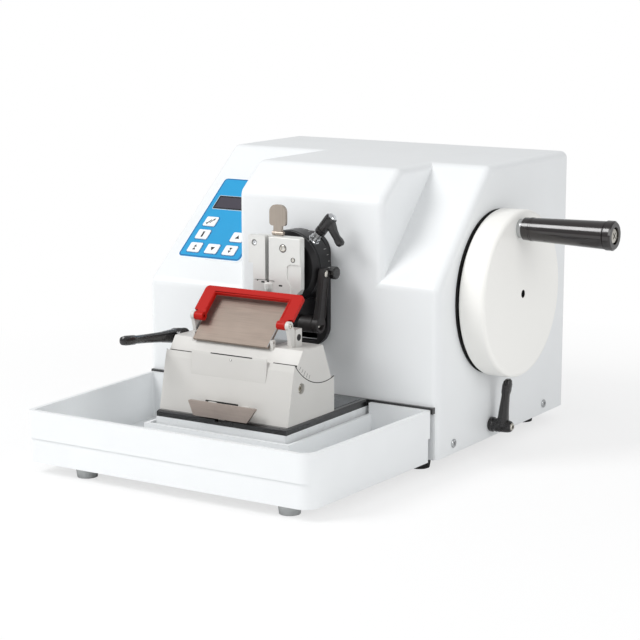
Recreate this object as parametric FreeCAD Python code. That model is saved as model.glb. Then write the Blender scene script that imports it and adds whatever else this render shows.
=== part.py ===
import FreeCAD, Part
import math
import os

# Rotary microtome for cutting thin tissue sections, with its blade holder, specimen head and waste tray.
# X runs to the operator's right, Y runs away from the operator, Z is up and the table is at z = 0.
# All lengths are in millimetres. The model is built about the housing's own centre plane and front
# face, and every node is shifted at the end so that the origin is the centre of the box on the table.

V = FreeCAD.Vector
os.makedirs("parts", exist_ok=True)
nodes = {}

# Fits between pieces
running_gap = 0.06
loose_gap = 0.3
bolt_gap = 0.1

# Housing
housing_width = 329.0
housing_depth = 266.7
foot_height = 12.0
roof_z = 275.5
wall = 3.0
edge_radius = 7.0
soft_radius = 12.0
bulge_left_x = -55.0
bulge_right_x = 105.0
bulge_front_top_z = 249.0
bulge_slope_run = 33.0
console_front_z = 153.6
console_slope_run = 149.5
shoulder_front_z = 172.0
shoulder_slope_run = 98.0
bulge_overlap = 8.0
cover_thickness = 2.5
boss_size = 12.0
boss_low_z = 36.0
boss_roof_gap = 25.5
housing_screw_ys = (32.0, 224.0)
housing_screw_z = 22.0
screw_radius = 2.0
screw_head_radius = 4.2
screw_head_height = 1.6
screw_length = 12.0

# Casting, feet and base plate
casting_floor = 12.0
casting_gap = 0.2
front_wall_depth = 8.0
pedestal_left_x = -52.0
pedestal_right_x = 92.0
pedestal_front_y = -141.0
base_plate_z = 56.0
base_plate_thickness = 6.0
base_plate_lip = 3.0
base_plate_bevel = 1.5
foot_radius = 12.0
foot_side_inset = 26.5
foot_front_y = 14.0
foot_rear_inset = 36.7

# Handwheel, drive shaft and grip
wheel_y = 110.9
wheel_z = 154.8
wheel_radius = 80.0
wheel_gap = 3.0
wheel_thickness = 27.5
wheel_rim = 9.0
wheel_web = 8.0
wheel_hub_radius = 18.0
wheel_edge_radius = 4.0
wheel_hole_radius = 3.9
shaft_radius = 8.0
shaft_end_depth = 5.0
grip_y = 102.0
grip_inset = 16.3
grip_z = wheel_z + wheel_radius - grip_inset
grip_length = 91.7
grip_start_radius = 10.7
grip_end_radius = 13.0
grip_collar_radius = 13.8
grip_collar_length = 8.0
spindle_radius = 5.0
spindle_flange_radius = 9.0
spindle_flange_length = 4.0
spindle_head_radius = 7.0
spindle_head_length = 3.0
crank_radius = 28.0
crank_disc_radius = 37.0
crank_disc_thickness = 12.0
crank_pin_radius = 6.0
crank_pin_length = 12.0
crank_disc_left_x = 70.0
bearing_outer_radius = 14.0
bearing_width = 12.0
bearing_crank_gap = 14.0
bearing_wall_gap = 19.5
bearing_frame_margin = 10.0
bearing_frame_half = 30.0
seat_fit = 0.02
shaft_hole_radius = 11.0

# Wheel lock lever on the right side
lock_y = 107.0
lock_z = 25.0
lock_hub_radius = 7.0
lock_hub_length = 23.0
lock_arm_gap = 6.8
lock_arm_width = 9.0
lock_arm_lean = 5.0
lock_stud_radius = 4.0

# Vertical slide inside the housing
head_x = 21.5
head_z = 185.0
head_stroke = 56.0
rail_spacing = 67.0
rail_radius = 7.0
rail_y = 38.0
rail_roof_gap = 25.5
rail_frame_front = 13.0
rail_frame_rear = 20.0
rail_frame_top = 4.0
rail_socket = 6.0
rail_column = 10.0
rail_column_gap = 1.0
carriage_width = 91.0
carriage_front_y = 24.0
carriage_depth = 28.0
carriage_height = 74.0
feed_radius = 15.0
feed_rear_y = 70.0
feed_plate_y = 104.0
feed_plate_thickness = 6.0
feed_arm_thickness = 6.0
feed_arm_inner = 24.0
yoke_thickness = 11.5
yoke_pin_gap = 0.5
yoke_slot_length = 74.0
yoke_bar = 6.0
motor_radius = 18.0
motor_length = 40.0
feed_screw_radius = 4.0
feed_screw_front_y = 24.0
slot_gap = 1.5
slot_plate_thickness = 6.0
slot_plate_width = 56.0
slot_plate_corner = 20.0
slot_plate_low_z = 107.0
slot_plate_high_z = 216.0

# Specimen head in front of the housing
disc_radius = 34.0
disc_rear_y = -9.0
disc_thickness = 26.0
disc_chamfer = 4.0
tilt_depth = 6.0
cradle_radius = 6.0
cradle_half_height = 10.0
cradle_pin_radius = 2.5
cradle_pin_reach = 18.0
pocket_radius = 13.5
pocket_half_width = 13.0
collar_radius = 9.0
collar_low = 3.4
collar_high = 8.5
web_half_width = 4.0
clamp_gap = 6.0
clamp_width = 58.0
clamp_height = 53.0
clamp_low_z = 163.0
clamp_plate = 7.0
jaw_depth = 5.0
jaw_width = 18.5
jaw_height = 41.0
jaw_slot = 10.0
jaw_step = 5.0
jaw_ear_height = 26.0
jaw_hole = (6.5, 7.0, 3.0)
clamp_chamfer = 6.0
clamp_back_chamfer = 6.5
clamp_screw_places = ((19.0, 10.0, 3.4), (8.0, 20.0, 1.8))
clamp_screw_proud = 0.6
clamp_screw_length = 5.0
jaw_rod_radius = 2.5
thumb_head_width = 18.0
thumb_head_height = 19.5
thumb_head_radius = 7.0
thumb_chin_radius = 3.0
thumb_neck_width = 9.0
thumb_neck_height = 7.0
thumb_pin_half = 6.0
thumb_pin_rise = 2.2
thumb_pin_radius = 2.0
thumb_thickness = 3.0
thumb_offset_x = -1.3
head_lever_y = -32.0
head_lever_z = 134.0
head_lever_hub_radius = 8.0
head_lever_start_x = 38.0
head_lever_end_x = 59.0
head_lever_length = 53.0
head_lever_arm = 6.0
head_lever_lean = 6.0
head_lever_half = 4.5
head_lever_pin_radius = 4.0
head_lever_dimple = 3.5
bracket_width = 12.0
bracket_drop = 26.0
radial_angle = 48.5
radial_y = -22.0
radial_stud_radius = 4.0
radial_stud_inner = 26.0
radial_hub_start = 44.0
radial_hub_length = 21.0
radial_hub_radius = 5.5
radial_arm_angle = -60.0
radial_arm_length = 22.0
radial_arm_width = 8.0
knob_y = -21.0
knob_z = 182.0
knob_radius = 6.0
knob_rod_radius = 3.0
knob_start_x = 63.0
knob_length = 6.5

# Blade holder
knife_left_x = -50.0
knife_right_x = 90.0
knife_front_y = -136.0
knife_break_y = -126.0
knife_break_z = 109.6
knife_lip_y = -124.0
knife_rear_y = -59.0
arc_y = -75.8
arc_z = 154.3
arc_radius = 62.0
cradle_front_y = -121.0
cradle_top_front_y = -111.0
cradle_top_rear_y = -78.0
cradle_rear_y = -64.0
cradle_top_z = 126.5
groove_width = 10.0
groove_depth = 3.0
key_height = 2.7
side_hole_y = -113.7
side_hole_z = 93.0
side_hole_radius = 5.0
side_hole_depth = 4.0
edge_y = -76.0
edge_z = 162.0
plate_pitch = 43.7
plate_left_x = -26.0
plate_right_x = 56.0
plate_length = 48.5
plate_thickness = 2.5
blade_thickness = 0.3
blade_height = 8.0
blade_margin = 1.0
seat_start = 1.5
seat_pivot_gap = 1.0
seat_back = 3.0
plate_lift = 0.1
plate_pin_radius = 1.0
guard_left_x = -33.0
guard_right_x = 74.0
guard_arm = 13.0
guard_bar = 7.5
guard_over = 0.5
guard_lift = 8.0
guard_thickness = 3.5
guard_reach = 33.0
guard_knuckle = 4.0
guard_pin_radius = 1.5
lug_width = 3.5
lug_nose_radius = 4.2
lug_notch = 2.0
post_widths = (5.0, 9.0)
post_near = 7.0
post_far = 17.0
plate_pivot = 47.0
plate_overhang = 5.3
plate_lug_width = 3.0
plate_lug_half = 2.2
blade_lever_y = -95.0
blade_lever_z = 122.0
blade_lever_hub_radius = 8.0
blade_lever_hub_length = 16.0
blade_lever_rod_radius = 4.0
blade_lever_rod_depth = 30.0
blade_lever_arm_length = 78.0
blade_lever_rise = 6.0
blade_lever_knuckle = 6.5
blade_lever_tip = 5.0
paddle_y = -146.0
paddle_thickness = 3.0
paddle_low_z = 63.3
paddle_high_z = 77.0
paddle_top = (-11.0, 63.0)
paddle_bottom = (-5.0, 53.0)
paddle_rod_radius = 2.0
paddle_rod_y = -139.6
paddle_rod_z = 72.0
paddle_lug_xs = (4.0, 40.0)
paddle_lug_width = 8.0

# Waste tray
tray_rear_y = -3.3
tray_front_y = -199.3
tray_side_step = 4.0
tray_taper = 6.0
tray_top_z = 60.0
tray_bottom_z = 11.2
tray_seam_z = 34.0
tray_step = 1.2
tray_wall = 3.2
tray_floor = 3.2
tray_left_corner = 5.0
tray_right_corner = 15.0
tray_pedestal_gap = 4.0
tray_inner_wall_z = 50.0
tray_foot_radius = 11.0
tray_foot_places = ((-102.0, -178.5), (120.0, -178.5))

# Control panel on the sloping console
panel_side_inset = 17.5
panel_width = 74.0
panel_low = 33.0
panel_high = 142.0
panel_thickness = 1.2
panel_corner = 4.0
display_inset = 6.8
display_low = 99.0
display_high = 117.0
display_thickness = 1.6
key_width = 14.5
key_length = 12.5
key_proud = 0.9
key_stem = 5.9
key_side_gap = 0.15
key_first_column = 15.0
key_first_row = 11.6
key_column_pitch = 21.3
key_row_pitch = 18.0
key_cells = {
    "key_left": (0, 0),
    "key_down": (1, 0),
    "key_right": (2, 0),
    "key_run": (0, 1),
    "key_up": (2, 1),
    "key_slash": (0, 2),
}
board_depth = 6.5
board_thickness = 1.6

# Electrical pieces
supply_size = (70.0, 95.0, 42.0)
supply_side_gap = 19.5
supply_rear_gap = 10.7
control_board_size = (2.0, 110.0, 90.0)
control_board_gap = 5.0
control_board_rear_gap = 14.2
inlet_side_inset = 49.5
inlet_z = 62.0
inlet_width = 30.0
inlet_height = 24.0
inlet_depth = 26.0
inlet_flange = 3.0
switch_pitch = 40.0
switch_width = 21.0
switch_height = 15.0
switch_proud = 2.0

# Values worked out from those above
half_width = housing_width / 2
rear_face_y = housing_depth - cover_thickness
floor_top_z = foot_height + casting_floor
plate_top_z = base_plate_z + base_plate_thickness
wheel_x = half_width + wheel_gap
wheel_face_x = wheel_x + wheel_thickness
disc_front_y = disc_rear_y - disc_thickness
tilt_y = disc_front_y + tilt_depth
clamp_rear_y = disc_front_y - clamp_gap
clamp_front_y = clamp_rear_y - clamp_plate - jaw_depth
clamp_left_x = head_x - clamp_width / 2
clamp_right_x = head_x + clamp_width / 2
clamp_top_z = clamp_low_z + clamp_height
rail_xs = (head_x - rail_spacing / 2, head_x + rail_spacing / 2)
inner_x = half_width - wall
boss_high_z = roof_z - boss_roof_gap
rail_top_z = roof_z - rail_roof_gap
foot_xs = (-half_width + foot_side_inset, half_width - foot_side_inset)
foot_ys = (foot_front_y, housing_depth - foot_rear_inset)
bearing_left_xs = (crank_disc_left_x + crank_disc_thickness + bearing_crank_gap,
                   inner_x - bearing_wall_gap - bearing_width)
tray_rear_half = half_width - tray_side_step
tray_front_half = tray_rear_half - tray_taper
panel_left_x = -half_width + panel_side_inset
panel_right_x = panel_left_x + panel_width
display_left_x = panel_left_x + display_inset
display_right_x = panel_right_x - display_inset
key_places = {name: (panel_left_x + key_first_column + column * key_column_pitch,
                     panel_low + key_first_row + row * key_row_pitch)
              for name, (column, row) in key_cells.items()}
inlet_x = -half_width + inlet_side_inset
switch_x = inlet_x + switch_pitch


def box(x0, x1, y0, y1, z0, z1):
    return Part.makeBox(x1 - x0, y1 - y0, z1 - z0, V(x0, y0, z0))


def rod(start, end, radius, end_radius=None):
    """A round bar, or a cone where a second radius is given."""
    way = end - start
    if end_radius is None:
        return Part.makeCylinder(radius, way.Length, start, way)
    return Part.makeCone(radius, end_radius, way.Length, start, way)


def rod_x(y, z, radius, x0, x1):
    return rod(V(x0, y, z), V(x1, y, z), radius)


def rod_y(x, z, radius, y0, y1):
    return rod(V(x, y0, z), V(x, y1, z), radius)


def rod_z(x, y, radius, z0, z1):
    return rod(V(x, y, z0), V(x, y, z1), radius)


def rounded_wire(points, radius):
    """A closed outline whose corners are rounded; radius is one value or one for each corner."""
    count = len(points)
    radii = radius if isinstance(radius, (list, tuple)) else [radius] * count
    starts = []
    ends = []
    middles = []
    for i in range(count):
        here = points[i]
        back = (points[i - 1] - here).normalize()
        ahead = (points[(i + 1) % count] - here).normalize()
        half = back.getAngle(ahead) / 2
        reach = radii[i] / math.tan(half) if radii[i] > 0 else 0.0
        starts.append(here + back * reach)
        ends.append(here + ahead * reach)
        bisector = (back + ahead).normalize()
        middles.append(here + bisector * (radii[i] / math.sin(half) - radii[i]) if radii[i] > 0 else here)
    edges = []
    for i in range(count):
        if radii[i] > 0:
            edges.append(Part.Arc(starts[i], middles[i], ends[i]).toShape())
        after = starts[(i + 1) % count]
        if (after - ends[i]).Length > 1e-6:
            edges.append(Part.LineSegment(ends[i], after).toShape())
    return Part.Wire(edges)


def prism(axis, outline, low, high, radius=0.0):
    """An outline pushed along one axis: outline pairs are (y, z), (x, z) or (x, y)."""
    places = {
        "x": lambda a, b: V(low, a, b),
        "y": lambda a, b: V(a, low, b),
        "z": lambda a, b: V(a, b, low),
    }
    ways = {"x": V(1, 0, 0), "y": V(0, 1, 0), "z": V(0, 0, 1)}
    corners = [places[axis](a, b) for a, b in outline]
    face = Part.Face(rounded_wire(corners, radius))
    return face.extrude(ways[axis] * (high - low))


def on_plane(edge, axis, value):
    return all(abs(getattr(v.Point, axis) - value) < 1e-6 for v in edge.Vertexes)


def fillet_loop(solid, axis, value, radius, skip):
    """Round the edges that lie on one plane, without those that also lie on a skipped plane."""
    edges = [e for e in solid.Edges
             if on_plane(e, axis, value) and not any(on_plane(e, a, v) for a, v in skip)]
    return solid.makeFillet(radius, edges)


def fuse(*shapes):
    return shapes[0].fuse(list(shapes[1:])).removeSplitter()


def turned(profile, axis_y, axis_z):
    """A solid of revolution about a line along X; the profile is a list of (x, radius)."""
    points = [V(x, axis_y, axis_z + r) for x, r in profile]
    wire = Part.makePolygon(points + [points[0]])
    return Part.Face(wire).revolve(V(0, axis_y, axis_z), V(1, 0, 0), 360)


def keep(name, *shapes):
    """Give a node its solids."""
    nodes[name] = shapes[0] if len(shapes) == 1 else Part.makeCompound(list(shapes))


# The sloping console: a point x across, s up the slope from its front edge, n out of its face
console_angle = math.atan2(roof_z - console_front_z, console_slope_run)
slope_way = V(0, math.cos(console_angle), math.sin(console_angle))
slope_out = V(0, -math.sin(console_angle), math.cos(console_angle))


def on_console(x, s, n):
    return V(x, 0, console_front_z) + slope_way * s + slope_out * n


def console_block(x0, x1, s0, s1, n0, n1, radius=0.0):
    corners = [on_console(x, s, n0) for x, s in ((x0, s0), (x1, s0), (x1, s1), (x0, s1))]
    return Part.Face(rounded_wire(corners, radius)).extrude(slope_out * (n1 - n0))


# The blade's plane: s down the slope from the cutting edge, t out of the plane towards the operator
pitch = math.radians(plate_pitch)
blade_down = V(0, -math.cos(pitch), -math.sin(pitch))
blade_out = V(0, -math.sin(pitch), math.cos(pitch))


def on_blade(x, s, t):
    return V(x, edge_y, edge_z) + blade_down * s + blade_out * t


def blade_block(x0, x1, s0, s1, t0, t1, radius=0.0):
    corners = [on_blade(x, s, t0) for x, s in ((x0, s0), (x1, s0), (x1, s1), (x0, s1))]
    return Part.Face(rounded_wire(corners, radius)).extrude(blade_out * (t1 - t0))


def side_profile(front_z, run, inset, bottom, rear, rise=None):
    """Front wall, slope and roof as seen from the side, moved inwards by inset."""
    rise = roof_z - front_z if rise is None else rise
    angle = math.atan2(rise, run)
    back_off = inset / math.cos(angle)
    low_z = front_z + math.tan(angle) * inset - back_off
    high_y = (roof_z - inset - front_z + back_off) / math.tan(angle)
    return [(inset, bottom), (inset, low_z), (high_y, roof_z - inset), (rear, roof_z - inset), (rear,
                                                                                                bottom)]


def housing_block(inset, bottom, rear):
    """The housing's closed outer form, or its hollow when inset is the wall."""
    soft = soft_radius - inset
    edge = edge_radius - inset
    corners = [0.0, soft, soft, 0.0, 0.0]
    left_x = -half_width + inset
    right_x = half_width - inset
    pieces = []
    ends = (
        (console_front_z, console_slope_run, left_x, bulge_left_x + inset),
        (shoulder_front_z, shoulder_slope_run, right_x, bulge_right_x - inset),
    )
    for front_z, run, outer_x, bulge_x in ends:
        outline = side_profile(front_z, run, inset, bottom, rear)
        side = prism("x", outline, min(0.0, outer_x), max(0.0, outer_x), corners)
        pieces.append(fillet_loop(side, "x", outer_x, edge, (("z", bottom), ("y", rear))))
        bulge_rear = run + bulge_overlap
        outline = side_profile(bulge_front_top_z, bulge_slope_run, inset, base_plate_z, bulge_rear)
        bulge = prism("x", outline, min(0.0, bulge_x), max(0.0, bulge_x), corners)
        pieces.append(fillet_loop(bulge, "x", bulge_x, edge, (("z", base_plate_z), ("y", bulge_rear))))
    return fuse(*pieces)


def console_cutter(x0, x1, s0, s1, gap):
    return console_block(x0 - gap, x1 + gap, s0 - gap, s1 + gap, -key_stem * 2, key_stem)


def key_box(place):
    x, s = place
    return (x - key_width / 2, x + key_width / 2, s - key_length / 2, s + key_length / 2)


# Housing shell: one moulded cover, open below and behind
shell = housing_block(0.0, foot_height, rear_face_y)
shell = shell.cut(housing_block(wall, foot_height - wall, rear_face_y + wall))
shell = shell.cut(box(-inner_x, inner_x, -wall, wall + edge_radius, 0, plate_top_z))
bosses = []
for side in (-1, 1):
    for z in (boss_low_z, boss_high_z):
        near = side * (inner_x + wall / 2)
        far = side * (inner_x - boss_size)
        bosses.append(box(min(near, far), max(near, far), rear_face_y - boss_size, rear_face_y,
                          z - boss_size / 2, z + boss_size / 2))
shell = fuse(shell, *bosses)
slot_half = feed_radius + slot_gap
slot_low = head_z - head_stroke - slot_half
slot_high = head_z + slot_half
slot_cut = box(head_x - slot_half, head_x + slot_half, -slot_plate_thickness - wall, wall * 2,
               slot_low, slot_high)
shell = shell.cut(slot_cut)
shell = shell.cut(rod_x(wheel_y, wheel_z, shaft_hole_radius, inner_x - wall, half_width + wall))
shell = shell.cut(rod_x(lock_y, lock_z, lock_stud_radius + loose_gap, inner_x - wall, half_width + wall))
for place in key_places.values():
    shell = shell.cut(console_cutter(*key_box(place), key_side_gap))
shell = shell.cut(console_cutter(display_left_x, display_right_x, display_low, display_high, -wall))

# Screws that hold the shell to the casting, and their holes
housing_screws = []
screw_holes = []
for side in (-1, 1):
    for y in housing_screw_ys:
        face_x = side * half_width
        inner_end = side * (half_width - screw_length)
        head_end = side * (half_width + screw_head_height)
        head = rod(V(face_x, y, housing_screw_z), V(head_end, y, housing_screw_z),
                   screw_head_radius, screw_head_radius * 0.8)
        shank = rod(V(inner_end, y, housing_screw_z), V(face_x, y, housing_screw_z), screw_radius)
        housing_screws.append(fuse(head, shank))
        screw_holes.append(rod(V(inner_end - side * bolt_gap, y, housing_screw_z), V(head_end, y,
                                                                                     housing_screw_z),
                               screw_radius + bolt_gap))
keep("housing_screws", *housing_screws)

# Rear cover and its screws
cover_outline = [(-half_width, foot_height), (half_width, foot_height), (half_width, roof_z),
                 (-half_width, roof_z)]
cover = prism("y", cover_outline, rear_face_y, housing_depth, [0.0, 0.0, edge_radius, edge_radius])
cover_screws = []
cover_holes = []
for side in (-1, 1):
    for z in (boss_low_z, boss_high_z):
        x = side * (inner_x - boss_size / 2)
        head = rod(V(x, housing_depth, z), V(x, housing_depth + screw_head_height, z),
                   screw_head_radius, screw_head_radius * 0.8)
        shank = rod_y(x, z, screw_radius, housing_depth - screw_length, housing_depth)
        cover_screws.append(fuse(head, shank))
        cover_holes.append(rod_y(x, z, screw_radius + bolt_gap,
                                 housing_depth - screw_length - bolt_gap, housing_depth + bolt_gap))
keep("cover_screws", *cover_screws)
for hole in screw_holes + cover_holes:
    shell = shell.cut(hole)
for hole in cover_holes:
    cover = cover.cut(hole)
keep("housing_shell", shell)

# Mains inlet and rocker switch in the rear cover
inlet_body = box(inlet_x - inlet_width / 2, inlet_x + inlet_width / 2,
                 housing_depth - inlet_depth, housing_depth,
                 inlet_z - inlet_height / 2, inlet_z + inlet_height / 2)
inlet_rim = box(inlet_x - inlet_width / 2 - inlet_flange, inlet_x + inlet_width / 2 + inlet_flange,
                housing_depth, housing_depth + switch_proud,
                inlet_z - inlet_height / 2 - inlet_flange, inlet_z + inlet_height / 2 + inlet_flange)
inlet_mouth = box(inlet_x - inlet_width / 2 + inlet_flange, inlet_x + inlet_width / 2 - inlet_flange,
                  housing_depth - inlet_depth + inlet_flange, housing_depth + switch_proud,
                  inlet_z - inlet_height / 2 + inlet_flange, inlet_z + inlet_height / 2 - inlet_flange)
inlet = fuse(inlet_body, inlet_rim).cut(inlet_mouth)
for side in (-1, 0, 1):
    blade_x = inlet_x + side * inlet_width / 4
    inlet = inlet.fuse(box(blade_x - 1, blade_x + 1, housing_depth - inlet_depth + inlet_flange / 2,
                           housing_depth - inlet_flange,
                           inlet_z - 3 + abs(side), inlet_z + 3 + abs(side)))
keep("power_inlet", inlet.removeSplitter())
cover = cover.cut(box(inlet_x - inlet_width / 2 - bolt_gap, inlet_x + inlet_width / 2 + bolt_gap,
                      rear_face_y - wall, housing_depth + wall,
                      inlet_z - inlet_height / 2 - bolt_gap, inlet_z + inlet_height / 2 + bolt_gap))
switch = box(switch_x - switch_width / 2, switch_x + switch_width / 2,
             housing_depth - switch_proud * 2, housing_depth + switch_proud,
             inlet_z - switch_height / 2, inlet_z + switch_height / 2)
switch_bore = switch_height
cover = cover.cut(box(switch_x - switch_width / 2 - loose_gap, switch_x + switch_width / 2 + loose_gap,
                      rear_face_y - wall, housing_depth + wall,
                      inlet_z - switch_bore / 2 - loose_gap, inlet_z + switch_bore / 2 + loose_gap))
rocker_round = rod_x(housing_depth - switch_proud, inlet_z, switch_bore / 2,
                     switch_x - switch_width / 2, switch_x + switch_width / 2)
keep("power_switch", switch.common(rocker_round))
keep("rear_cover", cover)

# Casting under everything: floor, front wall and the pedestal that carries the blade holder
casting_x = inner_x - casting_gap
casting = fuse(
    box(-casting_x, casting_x, 0, rear_face_y, foot_height, floor_top_z),
    box(-casting_x, casting_x, 0, front_wall_depth, foot_height, base_plate_z),
    box(pedestal_left_x, pedestal_right_x, pedestal_front_y, front_wall_depth, foot_height, base_plate_z),
)
pedestal_edges = [e for e in casting.Edges
                  if on_plane(e, "y",
                              pedestal_front_y) and abs(e.Vertexes[0].Z - e.Vertexes[-1].Z) > foot_height]
casting = casting.makeFillet(wall, pedestal_edges)
for hole in screw_holes:
    casting = casting.cut(hole)
lock_boss = box(casting_x - boss_size, casting_x, lock_y - boss_size, lock_y + boss_size,
                floor_top_z, lock_z + boss_size)
casting = fuse(casting, lock_boss)
lock_bore = rod_x(lock_y, lock_z, lock_stud_radius + bolt_gap, casting_x - boss_size * 2,
                  casting_x + wall)
casting = casting.cut(lock_bore)
keep("base_casting", casting)

# Black base plate: a tongue under the blade holder and a strip below the housing's front
tongue = prism("z", [(pedestal_left_x + 2, pedestal_front_y), (pedestal_right_x, pedestal_front_y),
                     (pedestal_right_x, front_wall_depth - wall), (pedestal_left_x + 2,
                                                                   front_wall_depth - wall)],
               base_plate_z, plate_top_z)
tongue_edges = [e for e in tongue.Edges
                if on_plane(e, "z", plate_top_z) and not on_plane(e, "y", front_wall_depth - wall)]
tongue = tongue.makeChamfer(base_plate_bevel, tongue_edges)
strip = box(-casting_x, casting_x, -base_plate_lip, front_wall_depth - wall, base_plate_z, plate_top_z)
groove_x = (knife_left_x + knife_right_x) / 2
groove = box(groove_x - groove_width / 2, groove_x + groove_width / 2, pedestal_front_y - wall,
             knife_rear_y + 60, plate_top_z - groove_depth, plate_top_z + wall)
keep("base_plate", fuse(tongue, strip).cut(groove))

# Rubber feet
feet = []
for x in foot_xs:
    for y in foot_ys:
        feet.append(rod(V(x, y, 0), V(x, y, foot_height), foot_radius * 0.85, foot_radius))
keep("rubber_feet", *feet)

# Black plate round the head's slot
slot_plate = prism("y", [(head_x - slot_plate_width / 2, slot_plate_low_z),
                         (head_x + slot_plate_width / 2, slot_plate_low_z),
                         (head_x + slot_plate_width / 2, slot_plate_high_z),
                         (head_x - slot_plate_width / 2, slot_plate_high_z)],
                   -slot_plate_thickness, 0, slot_plate_corner)
keep("slot_plate", slot_plate.cut(slot_cut))

# Control panel, display and keys
panel = console_block(panel_left_x, panel_right_x, panel_low, panel_high, 0, panel_thickness,
                      panel_corner)
for place in key_places.values():
    panel = panel.cut(console_cutter(*key_box(place), key_side_gap))
display_cut = console_block(display_left_x, display_right_x, display_low, display_high, -wall, wall)
keep("control_panel", panel.cut(display_cut))
keep("display_window", console_block(display_left_x, display_right_x, display_low, display_high,
                                     0, display_thickness))
for name, place in key_places.items():
    cap = console_block(*key_box(place), -key_stem, panel_thickness + key_proud, 1.5)
    keep(name, cap)
board_top = -board_depth
keep("keypad_board", console_block(panel_left_x + panel_corner, panel_right_x - panel_corner,
                                   panel_low + panel_corner, display_low - panel_corner,
                                   board_top - board_thickness, board_top))

# Frame inside the housing: two bearing plates and the bridge that holds the rails
frame_height = wheel_z + bearing_outer_radius + bearing_frame_margin
bearing_plates = []
bearings = []
for left_x in bearing_left_xs:
    plate = box(left_x, left_x + bearing_width, wheel_y - bearing_frame_half,
                wheel_y + bearing_frame_half,
                floor_top_z, frame_height)
    bore = rod_x(wheel_y, wheel_z, bearing_outer_radius + seat_fit, left_x - wall,
                 left_x + bearing_width + wall)
    bearing_plates.append(plate.cut(bore))
    ring = rod_x(wheel_y, wheel_z, bearing_outer_radius, left_x, left_x + bearing_width)
    ring = ring.cut(rod_x(wheel_y, wheel_z, shaft_radius + running_gap, left_x - wall,
                          left_x + bearing_width + wall))
    bearings.append(ring)
keep("bearing_frame", *bearing_plates)
keep("shaft_bearings", *bearings)
bridge_half = carriage_width / 2 + rail_column_gap
frame_front_y = rail_y - rail_frame_front
frame_rear_y = rail_y + rail_frame_rear
frame_top_z = rail_top_z + rail_frame_top
bridge = box(head_x - bridge_half, head_x + bridge_half, frame_front_y, frame_rear_y,
             rail_top_z - rail_socket, frame_top_z)
columns = []
for near, far in ((-bridge_half - rail_column, -bridge_half), (bridge_half, bridge_half + rail_column)):
    columns.append(box(head_x + near, head_x + far, frame_front_y, frame_rear_y, floor_top_z,
                       frame_top_z))
rail_frame = fuse(bridge, *columns)
for x in rail_xs:
    rail_frame = rail_frame.cut(rod_z(x, rail_y, rail_radius + seat_fit, rail_top_z - rail_socket - 1,
                                      rail_top_z))
keep("rail_frame", rail_frame)
keep("guide_rails", *[rod_z(x, rail_y, rail_radius, floor_top_z, rail_top_z) for x in rail_xs])

# Power supply and control board
supply_w, supply_d, supply_h = supply_size
supply_x = -half_width + supply_side_gap
supply_rear_y = housing_depth - inlet_depth - supply_rear_gap
keep("power_supply", box(supply_x, supply_x + supply_w, supply_rear_y - supply_d, supply_rear_y,
                         floor_top_z, floor_top_z + supply_h))
board_w, board_d, board_h = control_board_size
control_board_x = supply_x + supply_w + control_board_gap
board_rear_y = rear_face_y - control_board_rear_gap
keep("control_board", box(control_board_x, control_board_x + board_w, board_rear_y - board_d,
                          board_rear_y,
                          floor_top_z, floor_top_z + board_h))

# Handwheel, shaft, crank and grip
shaft_end_x = wheel_face_x - shaft_end_depth
rim_in = wheel_radius - wheel_rim
web_x = wheel_face_x - wheel_web
wheel = turned([(wheel_x, wheel_radius), (wheel_x, rim_in), (web_x, rim_in), (web_x, wheel_hub_radius),
                (wheel_x, wheel_hub_radius), (wheel_x, shaft_radius + seat_fit),
                (shaft_end_x, shaft_radius + seat_fit),
                (shaft_end_x, wheel_hole_radius), (wheel_face_x, wheel_hole_radius), (wheel_face_x,
                                                                                      wheel_radius)],
               wheel_y, wheel_z)
wheel_rim_edges = [e for e in wheel.Edges if isinstance(e.Curve, Part.Circle)
                   and abs(e.Curve.Radius - wheel_radius) < 1e-6]
wheel = wheel.makeFillet(wheel_edge_radius, wheel_rim_edges)
keep("handwheel", wheel)
keep("drive_shaft", rod_x(wheel_y, wheel_z, shaft_radius, crank_disc_left_x, shaft_end_x))
crank = rod_x(wheel_y, wheel_z, crank_disc_radius, crank_disc_left_x,
              crank_disc_left_x + crank_disc_thickness)
crank = crank.cut(rod_x(wheel_y, wheel_z, shaft_radius + seat_fit, crank_disc_left_x - wall,
                        crank_disc_left_x + crank_disc_thickness + wall))
pin_left_x = crank_disc_left_x - crank_pin_length
crank = fuse(crank, rod_x(wheel_y, wheel_z + crank_radius, crank_pin_radius, pin_left_x,
                          crank_disc_left_x + wall))
keep("crank_disc", crank)
flange_x = wheel_face_x + spindle_flange_length
grip_x = flange_x + loose_gap
grip_end_x = grip_x + grip_length
head_start_x = grip_end_x - spindle_head_length * 2
spindle = fuse(
    rod_x(grip_y, grip_z, spindle_flange_radius, wheel_face_x, flange_x),
    rod_x(grip_y, grip_z, spindle_radius, wheel_face_x, head_start_x + spindle_head_length),
    rod_x(grip_y, grip_z, spindle_head_radius, head_start_x, head_start_x + spindle_head_length),
)
keep("grip_spindle", spindle)
bore_radius = spindle_radius + running_gap
recess_radius = spindle_head_radius + 1
recess_x = head_start_x - loose_gap
collar_x = grip_end_x - grip_collar_length
grip = turned([(grip_x, bore_radius), (grip_x, grip_start_radius - 1), (grip_x + 1, grip_start_radius),
               (collar_x - 1, grip_end_radius), (collar_x, grip_end_radius - 0.8),
               (collar_x + 0.8, grip_collar_radius), (grip_end_x - 1.5, grip_collar_radius),
               (grip_end_x, grip_collar_radius - 1.5), (grip_end_x, recess_radius),
               (recess_x, recess_radius), (recess_x, bore_radius)], grip_y, grip_z)
keep("grip", grip)

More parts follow.
